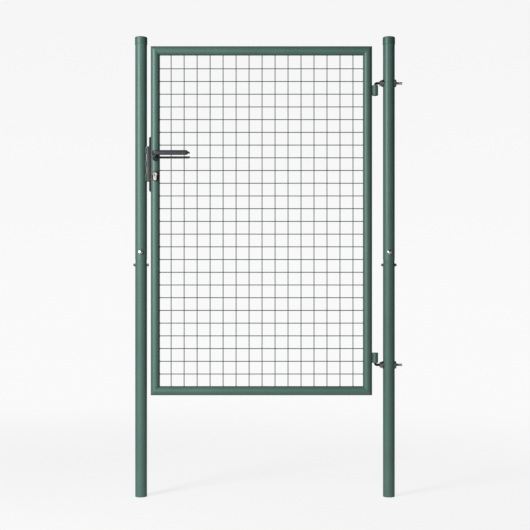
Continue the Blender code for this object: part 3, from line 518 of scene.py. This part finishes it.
# ---- posts
def make_post(side):
    lower_low, lower_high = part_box(side + "_post_lower_tube")
    upper_low, upper_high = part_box(side + "_post_upper_tube")
    x = (lower_low.x + lower_high.x) / 2
    radius = (lower_high.x - lower_low.x) / 2
    bore = radius - WALL
    rim = 0.35 * MM
    through = middle(side + "_post_through_bolt")
    cross = middle(side + "_post_cross_bolt")

    top = lower_high.z
    profile = [(bore, 0), (radius - rim, 0), (radius, rim), (radius, top - 3.2 * MM),
               (radius + 0.15 * MM, top - 2.4 * MM), (radius + 0.15 * MM, top - 0.9 * MM),
               (radius - 0.2 * MM, top - 0.25 * MM), (radius - 0.6 * MM, top), (bore, top)]
    lower = to_object(side + "_lower_post", lathe(profile, closed=True), at(x, 0, 0))
    carve(lower, (rod(CROSS_HOLE), at(x, 0, cross.z, TO_X)))
    start = upper_low.z
    profile = [(bore, start), (radius - 1.0 * MM, start), (radius - 0.75 * MM, start + 0.6 * MM),
               (radius - 0.75 * MM, start + 9 * MM), (radius - 0.6 * MM, start + 11 * MM),
               (radius - 0.15 * MM, start + 15 * MM), (radius, start + 18 * MM), (radius, upper_high.z - rim),
               (radius - rim, upper_high.z), (bore, upper_high.z)]
    upper = to_object(side + "_upper_post", lathe(profile, closed=True), at(x, 0, 0))
    carve(upper, (rod(ROD_HOLE), at(x, 0, through.z, TO_FRONT)))
    if side == "left":
        bolt = span("deadbolt")
        carve(upper, (block(radius, bolt.y + 3 * MM, bolt.z + 6 * MM),
                      at(x + radius, 0, middle("deadbolt").z)))
    else:
        for tube, name in ((upper, "upper"), (lower, "lower")):
            carve(tube, (rod(ROD_HOLE), at(x, 0, middle(name + "_hinge_nut").z, TO_X)))
    finish_piece(lower, GREEN, "posts", [side + "_post_lower_tube"])
    finish_piece(upper, GREEN, "posts", [side + "_post_upper_tube"])

    low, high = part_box(side + "_post_cap")
    outer = (high.x - low.x) / 2
    inner = outer - 0.8 * MM
    height = high.z - low.z
    crown = [(outer * 0.80 * math.sin(t), 1.5 * MM * (math.cos(t) - 1))
             for t in (math.pi / 2.4 * step / 6 for step in range(7))]
    edge_z = crown[-1][1]
    shoulder = [(crown[-1][0] + (outer - crown[-1][0]) * math.sin(t), edge_z - 3.6 * MM * (1 - math.cos(t)))
                for t in quarter(8)[1:]]
    profile = crown + shoulder + [(outer, -height + 4.4 * MM), (outer - 0.25 * MM, -height + 4.1 * MM),
                                  (outer - 0.25 * MM, -height + 3.4 * MM), (outer, -height + 3.1 * MM),
                                  (outer, -height + 0.5 * MM), (outer - 0.35 * MM, -height), (inner, -height),
                                  (inner, -1.5 * MM - 2 * MM), (inner - 3 * MM, -1.5 * MM - 0.3 * MM),
                                  (0, -1.5 * MM)]
    cap = to_object(side + "_cap", lathe(profile), at(x, 0, high.z))
    finish_piece(cap, GREEN_CAP, "posts", [side + "_post_cap"])

    for label, turn, head, out, nut_turn, bore, material in (
            ("through", TO_FRONT, 5.5 * MM, (0, -1, 0), TO_FRONT, 5.1 * MM, ZINC),
            ("cross", TO_MINUS_X, 6.5 * MM, (-1, 0, 0), TO_X, 4.1 * MM, DARK_ZINC)):
        piece, cad_node = side + "_" + label, side + "_post_" + label
        socket_screw(piece + "_screw", cad_node + "_bolt", turn, head, out, material, "posts")
        hex_nut(piece + "_hex", cad_node + "_nut", nut_turn, bore, material, "posts")
    return x, radius


# ---- hinges
def make_hinge(name, up, post_x, post_radius, pin_x):
    low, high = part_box(name + "_hinge_hook")
    bar = (high.y - low.y) / 2
    bar_z = high.z - bar if up > 0 else low.z + bar
    pin_end = low.z if up > 0 else high.z
    bend = 7.5 * MM
    nut_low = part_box(name + "_hinge_nut")[0]
    path = [(pin_x, 0, pin_end), (pin_x, 0, pin_end + up * 0.8 * MM)]
    start_bend = bar_z - up * bend
    path += [(pin_x, 0, pin_end + (start_bend - pin_end) * share) for share in (0.3, 0.6, 0.85)]
    path += [(pin_x + bend - bend * math.cos(t), 0, start_bend + up * bend * math.sin(t))
             for t in quarter(14)]
    thread_start = nut_low.x - 2.0 * MM
    path.append((thread_start - 0.5 * MM, 0, bar_z))
    plain = len(path)
    thread_path, thread_size = threaded(Vector((thread_start, 0, bar_z)),
                                        Vector((high.x - 1.0 * MM, 0, bar_z)), bar, 1.5 * MM, 0.75 * MM, 6)
    path += [tuple(point) for point in thread_path]
    path.append((high.x, 0, bar_z))
    last = len(path) - 1

    def size(index, turn):
        if index == 0:
            return bar - 0.8 * MM
        if index == last:
            return bar - 1.3 * MM
        if index < plain:
            return bar
        return thread_size(index - plain, turn)

    hook = to_object(name + "_hook_bolt", sweep(path, size, 28, side=(0, 1, 0)))
    finish_piece(hook, THREAD, "posts", [name + "_hinge_hook"], sharp=40)

    low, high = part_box(name + "_hinge_barrel")
    outer = (high.y - low.y) / 2
    inner = bar + 0.5 * MM
    half = (high.z - low.z) / 2
    edge = 0.9 * MM
    profile = [(inner + edge, -half), (outer - edge, -half), (outer, -half + edge), (outer, half - edge),
               (outer - edge, half), (inner + edge, half), (inner, half - edge), (inner, -half + edge)]
    barrel = to_object(name + "_barrel", lathe(profile, 48, closed=True), at(pin_x, 0, (low.z + high.z) / 2))
    finish_piece(barrel, GREEN, "gate_leaf", [name + "_hinge_barrel"])
    contact = low.x + 0.8 * MM
    beads = []
    for face, seed in ((-1, 3), (1, 5)):
        points = [(contact + 0.15 * MM * math.sin(step * 1.7), face * (6.2 + 0.2 * math.sin(step * 0.9)) * MM,
                   low.z + 1.5 * MM + (high.z - low.z - 3 * MM) * step / 44) for step in range(45)]
        beads.append(bead(points, ripple(2.6 * MM, seed, 4), (0.35, 0.8), 14))
    weld = to_object(name + "_barrel_weld", gather(beads))
    finish_piece(weld, GREEN_WELD, "gate_leaf")

    for part, side, label in (("_hinge_saddle", -1, "_saddle"), ("_hinge_saddle_nut", 1, "_outer_saddle")):
        low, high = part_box(name + part)
        radius = (high.y - low.y) / 2
        depth = high.x - low.x
        hole = bar + GAP
        profile = [(hole, depth), (radius * 0.62, depth), (radius * 0.70, depth - 0.25 * MM),
                   (radius * 0.90, depth - 1.3 * MM), (radius - 0.3 * MM, depth - 2.2 * MM),
                   (radius, depth - 3.0 * MM), (radius, 0), (hole, 0)]
        turn = TO_X if side > 0 else TO_MINUS_X
        base_x = low.x if side > 0 else high.x
        made = to_object(name + label, lathe(profile, 56, closed=True), at(base_x, 0, bar_z, turn))
        carve(made, (rod(post_radius + GAP, 0.06, SADDLE_SIDES), at(post_x, 0, bar_z)))
        finish_piece(made, SADDLE_ZINC if side < 0 else GREEN_CAP, "posts", [name + part])
    low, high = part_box(name + "_hinge_washer")
    radius = (high.y - low.y) / 2
    half = (high.x - low.x) / 2
    hole = bar + GAP
    profile = [(hole, -half), (radius - 0.5 * MM, -half), (radius, -half + 0.5 * MM),
               (radius, half - 0.3 * MM), (radius - 0.3 * MM, half), (hole, half)]
    washer = to_object(name + "_washer", lathe(profile, 56, closed=True),
                       at((low.x + high.x) / 2, 0, bar_z, TO_X))
    finish_piece(washer, ZINC, "posts", [name + "_hinge_washer"])
    hex_nut(name + "_nut", name + "_hinge_nut", TO_X, bar + GAP, DULL_ZINC, "posts")


# ---- gate leaf
def make_leaf():
    places = {"top_rail": -90, "bottom_rail": 90, "lock_stile": 180, "hinge_stile": 0}
    names = {"top_rail": "frame_top", "bottom_rail": "frame_bottom", "lock_stile": "frame_lock_side",
             "hinge_stile": "frame_hinge_side"}
    made = {}
    for cad_node, degrees in places.items():
        size = span(cad_node)
        radius = min(size.x, size.z) / 2
        length = max(size.x, size.z) - 2 * radius
        bore = radius - WALL
        bm = lathe([(bore, -length / 2), (radius, -length / 2), (radius, length / 2), (bore, length / 2)],
                   TUBE_SIDES, closed=True)
        for vertex in bm.verts:
            vertex.co.z += vertex.co.x * math.copysign(1, vertex.co.z)
        turn = Matrix.Rotation(math.radians(degrees), 4, "Y")
        made[cad_node] = to_object(names[cad_node], bm, Matrix.Translation(middle(cad_node)) @ turn)

    stile = made["lock_stile"]
    stile_at = middle("lock_stile")
    case = span("lock_case")
    case_z = middle("lock_case").z
    carve(stile, (block(FRAME_RADIUS, case.y + 4 * MM, case.z + 1 * MM),
                  at(stile_at.x - FRAME_RADIUS, 0, case_z)),
          (rod(SPINDLE_HOLE), SPINDLE_AT),
          (prism(euro_outline(0.6 * MM), 0.2), PLUG_AT))
    for cad_node, obj in made.items():
        finish_piece(obj, GREEN, "gate_leaf", [cad_node])

    radius = span("top_rail").z / 2
    left, right = middle("lock_stile").x, middle("hinge_stile").x
    bottom, top = middle("bottom_rail").z, middle("top_rail").z
    beads = []
    for index, (x, z, out) in enumerate(((left, top, (-1, 1)), (right, top, (1, 1)),
                                         (left, bottom, (-1, -1)), (right, bottom, (1, -1)))):
        points = []
        for step in range(150):
            turn = math.tau * step / 150
            reach = radius - 0.55 * MM
            points.append((x + out[0] * reach * math.cos(turn), reach * math.sin(turn),
                           z + out[1] * reach * math.cos(turn)))
        beads.append(loop(points, ripple(1.15 * MM, 20 + index), 10))
    finish_piece(to_object("corner_welds", gather(beads)), GREEN_WELD, "gate_leaf")


def make_wires():
    """Upright wires in front of level ones, welded where they cross and where they meet the frame."""
    low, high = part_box("mesh_panel")
    gauge = (high.y - low.y) / 2
    offset = gauge * 0.86
    pitch_x, pitch_z, shift_x, shift_z = 0.050, 0.049, 2.4 * MM, -2.2 * MM
    count_x, count_z = int((high.x - low.x) / pitch_x), int((high.z - low.z) / pitch_z)
    columns = [(low.x + high.x) / 2 + shift_x + (step - (count_x - 1) / 2) * pitch_x
               for step in range(count_x)]
    rows = [(low.z + high.z) / 2 + shift_z + (step - (count_z - 1) / 2) * pitch_z
            for step in range(count_z)]
    past = 0.9 * MM               # into the frame tubes' surface
    sway = 0.12                   # millimetres, either way
    pieces = []
    for x in columns:
        bow = [(x + random.uniform(-sway, sway) * MM, -offset,
                low.z - past + (high.z - low.z + 2 * past) * step / 10) for step in range(11)]
        pieces.append(sweep(bow, gauge, 14, side=(1, 0, 0)))
    for z in rows:
        bow = [(low.x - past + (high.x - low.x + 2 * past) * step / 10, offset,
                z + random.uniform(-sway, sway) * MM) for step in range(11)]
        pieces.append(sweep(bow, gauge, 14, side=(0, 0, 1)))
    finish_piece(to_object("wire_panel", gather(pieces)), GREEN_WIRE, "gate_leaf", ["mesh_panel"])

    blobs = []

    def blob(x, y, z, wide, deep, tall):
        bm = bmesh.new()
        bmesh.ops.create_icosphere(bm, subdivisions=2, radius=1.0)
        size = [value * random.uniform(0.9, 1.12) for value in (wide, deep, tall)]
        bm.transform(at(x, y, z, Matrix.Diagonal((*size, 1.0))))
        blobs.append(bm)

    for x in columns:
        for z in rows:
            blob(x, 0, z, 2.1 * MM, 1.5 * MM, 2.1 * MM)
        for z in (low.z - 0.4 * MM, high.z + 0.4 * MM):
            blob(x, -offset, z, 3.0 * MM, 2.4 * MM, 1.7 * MM)
    for z in rows:
        for x in (low.x - 0.4 * MM, high.x + 0.4 * MM):
            blob(x, offset, z, 1.7 * MM, 2.4 * MM, 3.0 * MM)
    finish_piece(to_object("wire_welds", gather(blobs)), GREEN_WIRE, "gate_leaf")


# ---- lock
def euro_outline(extra=0.0, steps=30):
    """Round top and narrow round-ended stem, about the plug's axis."""
    radius = EURO_RADIUS + extra
    half = EURO_STEM / 2 + extra
    meet = math.degrees(math.asin(half / radius))
    top = arc((0, 0), radius, -90 + meet, 270 - meet, steps)
    foot = arc((0, -EURO_DROP + EURO_STEM / 2), half, 180, 360, steps // 2)
    return top + foot


def pan_screw(name, cad_node, body):
    """A countersunk screw with a cross recess, its head towards -x."""
    low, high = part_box(cad_node)
    centre = (low + high) / 2
    head = (high.z - low.z) / 2
    length = high.x - low.x
    shank = 2.5 * MM
    profile = [(0, 0.15 * MM), (head * 0.5, 0.12 * MM), (head * 0.92, 0), (head, -0.25 * MM),
               (shank, -2.4 * MM), (shank, -length + 0.8 * MM), (shank - 0.8 * MM, -length), (0, -length)]
    screw = to_object(name, lathe(profile, 40))
    for turn in (0, math.pi / 2):
        carve(screw, (block(head * 1.15, 0.9 * MM, 2.6 * MM), Matrix.Rotation(turn + 0.5, 4, "Z")))
    screw.data.transform(at(low.x + 0.15 * MM, centre.y, centre.z, TO_MINUS_X))
    finish_piece(screw, DARK_ZINC, body, [cad_node], sharp=28)


def make_faceplate():
    low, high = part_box("lock_faceplate")
    depth = high.x - low.x
    half = (high.z - low.z) / 2
    slope = 4.5 * MM
    shape = [(0, -half + slope), (depth * 0.55, -half), (depth, -half), (depth, half), (depth * 0.55, half),
             (0, half - slope)]
    centre_z = (low.z + high.z) / 2
    plate = to_object("faceplate", prism(shape, high.y - low.y), at(low.x, 0, centre_z, TO_FRONT))
    soften(plate, 0.7 * MM, 3)
    stile = middle("lock_stile")
    bolt, bolt_size = middle("deadbolt"), span("deadbolt")
    carve(plate, (rod(FRAME_RADIUS + GAP, 0.2, SADDLE_SIDES), at(stile.x, 0, centre_z)),
          (block(0.05, 9.6 * MM, 16.6 * MM), at(low.x, 0, LATCH_Z)),
          (block(0.05, bolt_size.y + 0.6 * MM, bolt_size.z + 0.6 * MM), at(low.x, 0, bolt.z)))
    for cad_node in ("upper_faceplate_screw", "lower_faceplate_screw", "cylinder_fixing_screw"):
        place = middle(cad_node)
        sink = lathe([(0, -0.03), (2.8 * MM, -0.03), (2.8 * MM, -2.6 * MM), (4.9 * MM, -0.2 * MM),
                      (5.0 * MM, 0.02), (0, 0.02)], 32)
        carve(plate, (sink, at(low.x, 0, place.z, TO_MINUS_X)))
    finish_piece(plate, BLACK_PLATE, "gate_leaf", ["lock_faceplate"])
    pan_screw("upper_plate_screw", "upper_faceplate_screw", "gate_leaf")
    pan_screw("lower_plate_screw", "lower_faceplate_screw", "gate_leaf")


def make_keep(post_x, post_radius):
    low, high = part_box("latch_keep")
    face_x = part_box("lock_faceplate")[0].x
    keep_x = face_x - 0.8 * MM
    back = low.x - keep_x
    lip = high.x - keep_x
    half = (high.y - low.y) / 2
    wall = 2.5 * MM
    curve = 1.2 * MM
    centre = (back + lip) / 2
    across = [back + (lip - back) * step / 16 for step in range(17)]
    front = [(x, -half + 1.9 * MM * ((x - centre) / (lip - centre)) ** 2) for x in across]
    section = [*front, (lip, -half + wall),
               *reversed(arc((curve, -half + wall + curve), curve, 180, 270, 6)),
               (0, half - curve), *arc((-curve, half - curve), curve, 0, 90, 6)[1:],
               (back, half), (back, half - wall), (-wall - 0.5 * MM, half - wall),
               (-wall, half - wall - 0.5 * MM),
               (-wall, -half + wall + 0.5 * MM), (-wall - 0.5 * MM, -half + wall), (back, -half + wall)]
    height = high.z - low.z
    strip = to_object("keep_strip", prism(section, height), at(keep_x, 0, (low.z + high.z) / 2))
    carve(strip, (rod(post_radius + GAP, 0.2, SADDLE_SIDES), at(post_x, 0, (low.z + high.z) / 2)))
    soften(strip, 0.3 * MM, 2, 50)
    bolt = span("deadbolt")
    carve(strip, (block(0.02, 10.6 * MM, 19 * MM), at(keep_x, 0, LATCH_Z)),
          (block(0.02, bolt.y + 1.6 * MM, bolt.z + 3 * MM), at(keep_x, 0, middle("deadbolt").z)))
    finish_piece(strip, KEEP, "posts", ["latch_keep"])
    beads = []
    for face in (-1, 1):
        for index, share in enumerate((0.12, 0.5, 0.88)):
            z = low.z + height * share
            reach = math.sqrt(post_radius ** 2 - (half - 0.5 * MM) ** 2)
            points = [(post_x + reach + 1.0 * MM, face * (half + 0.3 * MM), z + (step - 12) * 1.0 * MM)
                      for step in range(25)]
            beads.append(bead(points, ripple(1.9 * MM, 40 + index, 3), (0.4,), 12))
    finish_piece(to_object("keep_welds", gather(beads)), GREEN_WELD, "posts")


def make_roses():
    stile_x = middle("lock_stile").x
    for label, face in (("front", -1), ("rear", 1)):
        turn = TO_FRONT if face < 0 else Matrix.Rotation(math.pi, 4, "Z") @ TO_FRONT
        for part, rose, rim in (("_lever_rosette", "_handle_rose", 1.6 * MM),
                                ("_key_rosette", "_key_rose", 1.5 * MM)):
            low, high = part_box(label + part)
            width, height = high.x - low.x, high.z - low.z
            outer = low.y if face < 0 else high.y
            depth = high.y - low.y
            radius = width / 2
            profile = [(0, -0.5 * MM), (radius - 3.6 * MM, -0.5 * MM), (radius - 3.1 * MM, -0.1 * MM),
                       (radius - 2.7 * MM, 0)]
            profile += [(radius - rim + rim * math.sin(t), -rim * (1 - math.cos(t)))
                        for t in quarter(6)[1:]]
            profile += [(radius, -depth), (0, -depth)]
            bm = lathe(profile, 56, phase=0.5)
            stretch = (height - width) / 2
            for vertex in bm.verts:
                if abs(vertex.co.y) > 1e-7:
                    vertex.co.y += math.copysign(stretch, vertex.co.y)
            centre = middle(label + part)
            made = to_object(label + rose, bm, at(centre.x, outer, centre.z, turn))
            carve(made, (rod(FRAME_RADIUS + GAP, 0.05, SADDLE_SIDES), at(stile_x, 0, centre.z)))
            if part == "_lever_rosette":
                carve(made, (rod(SPINDLE_HOLE), SPINDLE_AT))
            else:
                carve(made, (prism(euro_outline(0.3 * MM), 0.2), PLUG_AT))
            finish_piece(made, BLACK_PLASTIC, "gate_leaf", [label + part])


def make_cylinder():
    low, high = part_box("cylinder_body")
    length = high.y - low.y
    body = to_object("euro_cylinder", prism(euro_outline(steps=48), length), PLUG_AT)
    soften(body, 0.5 * MM, 3, 60)
    carve(body, (rod(6.8 * MM, THROUGH, 64), PLUG_AT),
          (block(0.04, 10.6 * MM, 0.0356), at(LOCK_X, 0, PLUG_Z + 0.0022)))
    finish_piece(body, NICKEL, "gate_leaf", ["cylinder_body"])
    for label, face, rides in (("front", -1, "key_cam"), ("rear", 1, "rear_plug")):
        low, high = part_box(label + "_key_plug")
        depth = high.y - low.y
        radius = (high.x - low.x) / 2
        profile = [(0, -0.6 * MM), (radius * 0.42, -0.35 * MM), (radius * 0.80, 0), (radius - 0.45 * MM, 0),
                   (radius, -0.45 * MM), (radius, -depth), (0, -depth)]
        turn = TO_FRONT if face < 0 else Matrix.Rotation(math.pi, 4, "Z") @ TO_FRONT
        plug = to_object(label + "_plug_face", lathe(profile, 56))
        way = [(-0.6, 2.9), (0.9, 2.9), (0.9, 1.7), (1.5, 1.2), (1.5, 0.2), (0.6, -0.4), (0.6, -1.6),
               (1.2, -2.2), (1.2, -4.2), (0.4, -5.0), (-0.5, -5.0), (-0.5, -3.4), (-1.1, -2.8), (-1.1, -1.5),
               (-0.4, -0.9), (-0.4, 0.4), (-1.0, 1.0), (-1.0, 2.0)]
        outline = [(x * MM, (y - 0.4) * MM) for x, y in way]
        carve(plug, (prism(outline, 20 * MM), None))
        plug.data.transform(at(LOCK_X, low.y if face < 0 else high.y, PLUG_Z, turn))
        finish_piece(plug, NICKEL, rides, [label + "_key_plug"], sharp=28)


def grip_section(half_depth, half_height, ridge, corner):
    """A rounded bar section in (depth outwards, height), with a ridge along its outer face."""
    corner = min(corner, half_depth * 0.9, half_height * 0.9)
    in_d, in_h = half_depth - corner, half_height - corner
    upper = arc((-in_d, in_h), corner, 180, 90, 5) + arc((in_d, in_h), corner, 90, 0, 5)
    ring = upper + [(half_depth, half_height * 0.10), (half_depth, -half_height * 0.10)]
    ring += [(d, -h) for d, h in reversed(upper)]
    shaped = []
    for d, h in ring:
        back = ridge * max(0.0, abs(h) / half_height - 0.06) if d > 0 else 0.0
        shaped.append((d - back * max(0.0, min(1.0, d / half_depth)), h))
    return shaped


def lever(name, cad_node, face, material):
    """A lever lofted along its neck, elbow, grip and turned-back tip."""
    low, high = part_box(cad_node)
    grip_y = 0.077
    half_depth = 7.5 * MM
    grip_z = SPINDLE_Z + 5.5 * MM
    half_height = high.z - grip_z
    neck = 8.5 * MM
    start_y = abs(low.y if face > 0 else high.y)
    tip_half = 2.1 * MM
    tip_height = min(3.4 * MM, half_height * 0.9)
    tip_bend = 2.6 * MM
    bevel = 7.5 * MM
    corner = min(2.4 * MM, half_height * 0.55)
    slim = half_height < neck / 2
    ridge = 0.9 * MM if slim else 2.4 * MM

    def smooth(share):
        share = max(0.0, min(1.0, share))
        return share * share * (3 - 2 * share)

    # x, distance from the gate, z, heading, squareness, half depth, half height, ridge
    stations = []
    neck_top = grip_y - neck
    for step in range(13):
        share = step / 12
        waist = 1 - 0.14 * math.sin(math.pi * share)
        size = neck * waist
        square = smooth((share - 0.6) / 0.4) * 0.4
        tall = size + (half_height - size) * smooth((share - 0.75) / 0.25) * 0.5
        stations.append((LOCK_X, start_y + (neck_top - start_y) * share,
                         SPINDLE_Z + (grip_z - SPINDLE_Z) * smooth(share), 0, square,
                         size + (half_depth - size) * square, tall, 0.0))
    tall = stations[-1][6]
    for step in range(1, 13):
        turn = math.pi / 2 * step / 12
        share = smooth(step / 10)
        stations.append((LOCK_X + neck * (1 - math.cos(turn)), neck_top + neck * math.sin(turn), grip_z,
                         90 * step / 12, 0.4 + 0.6 * share, half_depth,
                         tall + (half_height - tall) * share, ridge * share))
    grip_end = high.x - tip_half - tip_bend
    first = LOCK_X + neck
    bevel_start = grip_end - bevel
    for step in range(1, 15):
        stations.append((first + (bevel_start - first) * step / 14, grip_y, grip_z, 90, 1.0, half_depth,
                         half_height, ridge))
    for step in range(1, 7):
        share = step / 6
        fall = share ** 1.4
        half_d = half_depth + (tip_half * 1.5 - half_depth) * fall
        half_h = half_height + (tip_height * 1.08 - half_height) * fall
        stations.append((bevel_start + bevel * share, grip_y, grip_z, 90, 1.0, half_d,
                         min(half_h, half_height), ridge * (1 - share)))
    for step in range(1, 9):
        share = step / 8
        turn = math.pi / 2 * share
        stations.append((grip_end + tip_bend * math.sin(turn), grip_y - tip_bend * (1 - math.cos(turn)),
                         grip_z, 90 + 90 * share, 1.0, tip_half * (1.5 - 0.5 * share), tip_height, 0.0))
    tip_y = grip_y - 20 * MM
    for step in range(1, 6):
        share = step / 5
        size = 1.0 if step < 5 else 0.75
        stations.append((grip_end + tip_bend, grip_y - tip_bend + (tip_y - grip_y + tip_bend) * share,
                         grip_z, 180, 1.0, tip_half * size, tip_height * size, 0.0))

    sections = []
    for x, y, z, heading, square, half_d, half_h, ridge_now in stations:
        turn = math.radians(heading)
        outward = Vector((-math.cos(turn), math.sin(turn)))      # outer side of the bend, in (x, distance)
        ring = []
        for d, h in grip_section(half_d, half_h, ridge_now, corner):
            angle = math.atan2(h / half_h, d / half_d)
            d = half_d * math.cos(angle) * (1 - square) + d * square
            h = half_h * math.sin(angle) * (1 - square) + h * square
            ring.append(Vector((x + outward.x * d, face * (y + outward.y * d), z + h)))
        sections.append(ring)
    finish_piece(to_object(name, skin(sections)), material, "lever_set", [cad_node], sharp=44)
    collar = [(neck * wide, height * MM) for wide, height in
              ((0.97, 0.2), (1.08, 0.2), (1.12, 0.6), (1.12, 2.2), (1.06, 2.8), (0.97, 3.0))]
    ring = to_object(name + "_collar", lathe(collar, 48, closed=True),
                     at(LOCK_X, face * start_y, SPINDLE_Z, TO_FRONT if face < 0 else TO_BACK))
    finish_piece(ring, material, "lever_set")


# ---- assembly
JOINTS = {joint["name"]: joint for joint in frame["joints"]}
LOCK_X = middle("lever_spindle").x
SPINDLE_Z = middle("lever_spindle").z
PLUG_Z = middle("front_key_plug").z
SPINDLE_AT = at(LOCK_X, 0, SPINDLE_Z, TO_FRONT)
PLUG_AT = at(LOCK_X, 0, PLUG_Z, TO_FRONT)
LATCH_RISE = 21 * MM  # latch above the spindle
LATCH_Z = SPINDLE_Z + LATCH_RISE
EURO_RADIUS = span("cylinder_body").x / 2
EURO_STEM = 12.5 * MM
EURO_DROP = PLUG_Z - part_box("cylinder_body")[0].z
HINGE_X = JOINTS["gate_swing"]["pos_m"][0]

left_x, post_radius = make_post("left")
right_x, post_radius = make_post("right")
make_hinge("upper", 1, right_x, post_radius, HINGE_X)
make_hinge("lower", -1, right_x, post_radius, HINGE_X)
make_leaf()
make_wires()
make_faceplate()
make_keep(left_x, post_radius)
make_roses()
make_cylinder()
lever("front_handle", "front_lever", -1, BLACK)
# painted shade: the rear handle takes the darker black_plastic where the front handle takes black_coat, for the
# shadow it lies in
lever("rear_handle", "rear_lever", 1, BLACK_PLASTIC)

KEPT = {"left_post_sleeve": STEEL, "right_post_sleeve": STEEL, "lock_case": STEEL, "lock_case_cover": STEEL,
        "latch_spring": STEEL, "lever_hub": STEEL, "cylinder_cam": STEEL, "lever_spindle": ZINC,
        "cylinder_fixing_screw": DARK_ZINC, "latch_bolt": ZINC, "deadbolt": ZINC}
for cad_node, material in KEPT.items():
    obj = frame["nodes"][cad_node]
    for slot in obj.material_slots:
        slot.material = material
    if cad_node in ("latch_bolt", "deadbolt", "lever_spindle", "lever_hub", "cylinder_cam"):
        rounding = obj.modifiers.new("round", "BEVEL")
        rounding.width = 0.5 * MM
        rounding.segments = 2
        rounding.limit_method = "ANGLE"
        rounding.angle_limit = math.radians(40)


# ---- floor, light, camera
scene = bpy.context.scene
scene.view_settings.view_transform = "Standard"
scene.view_settings.look = "None"

FLOOR_NEAR, FLOOR_FAR = 1.2, 3.2  # metres out, between which the floor gives way to the backdrop
FLOOR_ALBEDO = 0.18
FLOOR_COVER = 0.133  # share of the glow that the near floor gives up
FLOOR_LEAN = 0.022  # change in that share for a metre to the right or back
BACKDROP_LOW, BACKDROP_HIGH = 0.948, 0.915
BOUNCE_NEAR, BOUNCE_FAR = 0.46, 0.08  # light the floor sends up
AROUND = 0.035  # light from all round

floor_mesh = bmesh.new()
bmesh.ops.create_grid(floor_mesh, x_segments=24, y_segments=24, size=30.0)
floor = to_object("floor", floor_mesh)
floor_finish = bpy.data.materials.new("pale_floor")
floor_finish.use_nodes = True
tree = floor_finish.node_tree
shader = tree.nodes["Principled BSDF"]
shader.inputs["Roughness"].default_value = 0.9
shader.inputs["Specular IOR Level"].default_value = 0.1
where = node(tree, "TexCoord").outputs["Object"]
distance = node(tree, "VectorMath")
distance.operation = "LENGTH"
link(where, distance.inputs[0])
near = remap(tree, distance.outputs["Value"], 1.0, 0.0, FLOOR_NEAR, FLOOR_FAR)
base = arithmetic(tree, "MULTIPLY", near, FLOOR_ALBEDO)
across = node(tree, "SeparateXYZ")
link(where, across.inputs["Vector"])
lean = arithmetic(tree, "ADD", arithmetic(tree, "MULTIPLY", across.outputs["X"], FLOOR_LEAN),
                  arithmetic(tree, "MULTIPLY", across.outputs["Y"], FLOOR_LEAN))
cover = arithmetic(tree, "SUBTRACT", FLOOR_COVER, lean)
seen_glow = arithmetic(tree, "SUBTRACT", BACKDROP_LOW, arithmetic(tree, "MULTIPLY", near, cover))
path = node(tree, "LightPath")
bounce = remap(tree, distance.outputs["Value"], BOUNCE_NEAR, BOUNCE_FAR, 0.6, 2.4)
glow_pick = node(tree, "Mix")
link(path.outputs["Is Camera Ray"], glow_pick.inputs[0])
link(bounce, glow_pick.inputs[2])
link(seen_glow, glow_pick.inputs[3])
glow = glow_pick.outputs[0]
grey, light_grey = node(tree, "CombineColor"), node(tree, "CombineColor")
for index in range(3):
    link(base, grey.inputs[index])
    link(glow, light_grey.inputs[index])
link(grey.outputs["Color"], shader.inputs["Base Color"])
link(light_grey.outputs["Color"], shader.inputs["Emission Color"])
shader.inputs["Emission Strength"].default_value = 1.0
floor.data.materials.append(floor_finish)

world = bpy.data.worlds.new("studio")
scene.world = world
world.use_nodes = True
tree = world.node_tree
tree.nodes.clear()
seen = node(tree, "Background", Color=(1, 1, 1, 1))
direction = node(tree, "SeparateXYZ")
link(node(tree, "TexCoord").outputs["Generated"], direction.inputs["Vector"])
link(remap(tree, direction.outputs["Z"], BACKDROP_LOW, BACKDROP_HIGH, 0.0, 0.30),
     seen.inputs["Strength"])
around = node(tree, "Background", Color=(0.97, 0.99, 1.0, 1), Strength=AROUND)
rays = node(tree, "LightPath")
choose = node(tree, "MixShader")
out = node(tree, "OutputWorld")
link(rays.outputs["Is Camera Ray"], choose.inputs["Fac"])
link(around.outputs["Background"], choose.inputs[1])
link(seen.outputs["Background"], choose.inputs[2])
link(choose.outputs["Shader"], out.inputs["Surface"])


def softbox(name, azimuth, distance_m, height, width, tall, power, aim=(0, 0, 1.0)):
    """An area light; azimuth is degrees to the left of the front."""
    data = bpy.data.lights.new(name, "AREA")
    data.shape = "RECTANGLE"
    data.size = width
    data.size_y = tall
    data.energy = power
    made = bpy.data.objects.new(name, data)
    scene.collection.objects.link(made)
    turn = math.radians(azimuth)
    made.location = (-distance_m * math.sin(turn), -distance_m * math.cos(turn), height)
    made.rotation_mode = "QUATERNION"
    made.rotation_quaternion = (Vector(aim) - made.location).to_track_quat("-Z", "Y")


softbox("key", 46, 3.2, 2.15, 1.0, 2.0, 114, aim=(0, 0, 1.2))
softbox("low_fill", 30, 3.0, 0.6, 2.6, 1.1, 33, aim=(0, 0, 0.4))
softbox("front", -3, 4.5, 1.4, 0.9, 1.6, 13)
softbox("right", -76, 3.5, 0.8, 0.8, 1.5, 6)

EYE_DISTANCE, EYE_HEIGHT = 4.0, 0.814
camera_data = bpy.data.cameras.new("camera")
camera = bpy.data.objects.new("camera", camera_data)
scene.collection.objects.link(camera)
camera.location = ((left_x + right_x) / 2, -EYE_DISTANCE, EYE_HEIGHT)
camera.rotation_euler = (math.pi / 2, 0, 0)
camera_data.sensor_width = 36
camera_data.lens = 70.55
camera_data.shift_y = 0.0377
scene.camera = camera
